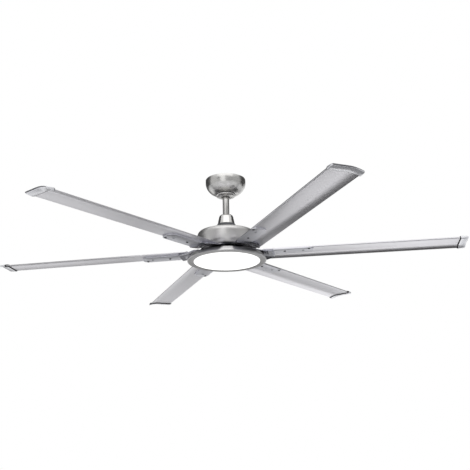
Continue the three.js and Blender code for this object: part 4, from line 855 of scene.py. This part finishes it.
# Trim ring: a rolled and satin plated ring, the dullest of the nickel pieces, that slopes out from
# the pan, turns in under the light and holds the lens by its lip.
TRIM_TOP_RADIUS = 144.5
TRIM_RADIUS = 154.5
TRIM_LIP = 129.5
TRIM_SIDE_TOP = -337
TRIM_FOOT = -342
TRIM_CORNER = 2
trim_path = [(TRIM_TOP_RADIUS, PAN_TOP), (TRIM_RADIUS, TRIM_SIDE_TOP),
             (TRIM_RADIUS, TRIM_FOOT + TRIM_CORNER), (TRIM_RADIUS - TRIM_CORNER, TRIM_FOOT),
             (TRIM_LIP, TRIM_FOOT)]
trim_brushed = round_brushed("satin_nickel_ring", ("#bcbbbb", "#d6d5d5"), (0.36, 0.48), line_mm=1)
trim = piece("trim_ring_band", shell(trim_path, SHEET, steps=160, edge=0.4), trim_brushed)
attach(trim, "hanger")
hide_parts("trim_ring")


# Lens: opal acrylic, 2 mm, that spreads the diodes' light until no spot shows. The light is on
# in the picture, so the lens glows evenly. Its flange lies on the trim ring's lip.
LENS_WALL = 2
LENS_RADIUS = 129.2
LENS_FLANGE = 135.5
LENS_STEP = -340.2
lens_outline = [
    (0, TRIM_FOOT), (LENS_RADIUS, TRIM_FOOT), (LENS_RADIUS, LENS_STEP), (LENS_FLANGE, LENS_STEP),
    (LENS_FLANGE, LENS_STEP + LENS_WALL), (LENS_RADIUS - LENS_WALL, LENS_STEP + LENS_WALL),
    (LENS_RADIUS - LENS_WALL, TRIM_FOOT + LENS_WALL), (0, TRIM_FOOT + LENS_WALL)]
opal, tree, shader = material_of("opal_acrylic", 0.0, 0.32)
place = add(tree, "ShaderNodeTexCoord")
haze = add(tree, "ShaderNodeTexNoise", {"Vector": place.outputs["Object"], "Scale": 30, "Detail": 2})
vary(tree, shader, haze.outputs[0], ("#f4f4f1", "#fbfbf9"), (0.28, 0.36))
shader.inputs["IOR"].default_value = 1.49
shader.inputs["Subsurface Weight"].default_value = 0.15
shader.inputs["Subsurface Radius"].default_value = (0.004, 0.004, 0.004)
shader.inputs["Emission Color"].default_value = linear("#fffefb")
shader.inputs["Emission Strength"].default_value = 0.75
lens = piece("opal_lens_disc", turned(lens_outline, steps=128, edge=0.2), opal)
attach(lens, "hanger")
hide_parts("diffuser")


# The room, in metres: a pale floor under the fan, seen from above only, a white world behind
# everything, and one soft lamp. Cards that only mirrors see give the metal its dark and light bands.
HEADING = math.radians(8.93)
FLOOR = -2.5
FLOOR_SIZE = 30
FAN_MIDDLE = Vector((0, 0, -0.25))
KEY_SIZE = 1.6
KEY_WATTS = 40


def aimed(x, y, z):
    """A point given to the right of, beyond and above the fan, as the camera sees it."""
    return Matrix.Rotation(HEADING, 3, "Z") @ Vector((x, y, z))


def sheet(name, size, centre, facing, material):
    """A flat card that faces a point."""
    bm = bmesh.new()
    bmesh.ops.create_grid(bm, x_segments=1, y_segments=1, size=0.5)
    bmesh.ops.scale(bm, vec=(size[0], size[1], 1), verts=bm.verts)
    turn = (facing - centre).to_track_quat("Z", "Y").to_matrix().to_4x4()
    bmesh.ops.transform(bm, matrix=Matrix.Translation(centre) @ turn, verts=bm.verts)
    made = linked(name, mesh_from(bm, name, material))
    return made


floor_paint, tree, shader = material_of("pale_floor", 0.0, 0.8)
place = add(tree, "ShaderNodeTexCoord")
grain = add(tree, "ShaderNodeTexNoise", {"Vector": place.outputs["Object"], "Scale": 3, "Detail": 2})
vary(tree, shader, grain.outputs[0], ("#ececec", "#f2f2f2"), (0.75, 0.85))
side = add(tree, "ShaderNodeNewGeometry")
clear = add(tree, "ShaderNodeBsdfTransparent")
shown = add(tree, "ShaderNodeMixShader", {
    0: side.outputs["Backfacing"], 1: shader.outputs[0], 2: clear.outputs[0]})
tree.links.new(shown.outputs[0], tree.nodes["Material Output"].inputs["Surface"])
sheet("floor", (FLOOR_SIZE, FLOOR_SIZE), Vector((0, 0, FLOOR)), Vector((0, 0, 0)), floor_paint)

world = bpy.data.worlds.new("studio")
bpy.context.scene.world = world
world.use_nodes = True
tree = world.node_tree
tree.nodes.clear()
rays = add(tree, "ShaderNodeLightPath")
first = add(tree, "ShaderNodeMath", {0: rays.outputs["Is Camera Ray"], 1: rays.outputs["Is Glossy Ray"]},
            operation="MAXIMUM")
seen = add(tree, "ShaderNodeMath", {0: first.outputs[0], 1: rays.outputs["Is Transmission Ray"]},
           operation="MAXIMUM")
backdrop = add(tree, "ShaderNodeBackground", {"Color": (1, 1, 1, 1), "Strength": 1.0})
fill = add(tree, "ShaderNodeBackground", {"Color": linear("#fafbfd"), "Strength": 0.95})
mixed = add(tree, "ShaderNodeMixShader", {0: seen.outputs[0], 1: fill.outputs[0], 2: backdrop.outputs[0]})
add(tree, "ShaderNodeOutputWorld", {0: mixed.outputs[0]})

light = bpy.data.lights.new("key", "AREA")
light.shape = "RECTANGLE"
light.size = KEY_SIZE
light.size_y = KEY_SIZE
light.energy = KEY_WATTS
key = linked("key", light)
key.location = aimed(2.6, -2.4, 1.6)
key.rotation_euler = (FAN_MIDDLE - key.location).to_track_quat("-Z", "Y").to_euler()
key.visible_camera = False
key.visible_glossy = False


def card(name, tone, size, centre, facing):
    """A plain grey or white card, at an even brightness, that only mirrors see."""
    made, tree, _ = material_of(name, 0.0, 1.0)
    glow = add(tree, "ShaderNodeEmission", {"Color": (1, 1, 1, 1), "Strength": tone})
    tree.links.new(glow.outputs[0], tree.nodes["Material Output"].inputs["Surface"])
    board = sheet(name, size, aimed(*centre), aimed(*facing), made)
    board.visible_camera = False
    board.visible_diffuse = False
    board.visible_shadow = False
    board.visible_transmission = False


# Each card's brightness, its width and height, its centre, and a point that it faces.
card("front_wall", 0.5, (14, 5.4), (0, -5.5, -0.3), (0, 0, -0.3))
card("front_left_dark", 0.1, (3.4, 1.7), (-3.4, -5.4, 1.35), (-3.4, 0, 1.35))
card("front_softbox", 1.35, (2.5, 4.5), (-1.25, -4.8, 0), (0, 0, 0))
card("top_softbox", 1.7, (7, 3), (0, -3.6, 3.4), (0, 0, -0.2))
card("left_flag", 0.08, (4.2, 4), (-2.6, 2.9, 2.8), (0, 0, 1.2))
card("right_flag", 0.08, (4.2, 4), (2.6, 2.9, 2.8), (0, 0, 1.2))
card("left_side", 0.7, (5.4, 5), (-4.7, -2.3, 0.4), (0, -2.3, 0.4))
card("left_side_dark", 0.06, (7, 4.4), (-4.7, 3.4, 1.2), (0, 3.4, 1.2))
card("right_side", 0.55, (5.4, 5), (4.7, -2.3, 0.4), (0, -2.3, 0.4))
card("right_side_dark", 0.06, (5, 4.4), (4.7, 2.3, 1.2), (0, 2.3, 1.2))
card("floor_near", 0.03, (4.4, 3.3), (0.2, 1.15, -2.3), (0.2, 1.15, 0))
card("floor_near_mid", 0.11, (0.8, 2.9), (-0.1, 1.3, -2.29), (-0.1, 1.3, 0))
card("floor_ring", 0.4, (0.8, 1.3), (-0.1, 5.45, -2.29), (-0.1, 5.45, 0))
card("floor_mid", 0.09, (0.8, 2.0), (-0.1, 3.8, -2.3), (-0.1, 3.8, 0))
card("floor_mid_left", 0.6, (0.8, 2.0), (-0.9, 3.8, -2.3), (-0.9, 3.8, 0))
card("floor_right", 1.38, (0.9, 2.1), (0.75, 3.85, -2.3), (0.75, 3.85, 0))
card("floor_far_right", 0.34, (2.1, 6), (1.35, 7.9, -2.31), (1.35, 7.9, 0))
card("floor_edge", 1.32, (1.2, 3.2), (1.8, 4.4, -2.3), (1.8, 4.4, 0))
card("floor_far", 0.62, (1.5, 6), (-0.45, 7.8, -2.3), (-0.45, 7.8, 0))
card("floor_far_left", 1.1, (5, 5), (-3.7, 6, -2.31), (-3.7, 6, 0))
card("left_wall", 0.2, (3.6, 5), (-3.0, 6.5, 0.6), (-3.0, 0, 0.6))

# The camera stands before and below the fan and looks up at it. Its place, turns and focal length
# were fitted to the blades' edges and ends in the picture.
CAMERA_PLACE = (0.4508, -2.6398, -1.111)
ELEVATION = math.radians(18.15)
ROLL = math.radians(-1.26)
SENSOR = 36
PICTURE_PIXELS = 470
FOCAL_PIXELS = 711.395
scene = bpy.context.scene
scene.view_settings.view_transform = "Standard"
view = bpy.data.cameras.new("camera")
view.sensor_width = SENSOR
view.lens = FOCAL_PIXELS / PICTURE_PIXELS * SENSOR
view.clip_end = 100
view.shift_x = -0.001
forward = aimed(0, math.cos(ELEVATION), math.sin(ELEVATION))
right = aimed(1, 0, 0)
up = right.cross(forward)
tilted = right * math.cos(ROLL) + up * math.sin(ROLL)
upright = up * math.cos(ROLL) - right * math.sin(ROLL)
turn = Matrix((tilted, upright, -forward)).transposed().to_4x4()
camera = linked("camera", view)
camera.matrix_world = Matrix.Translation(CAMERA_PLACE) @ turn
scene.camera = camera
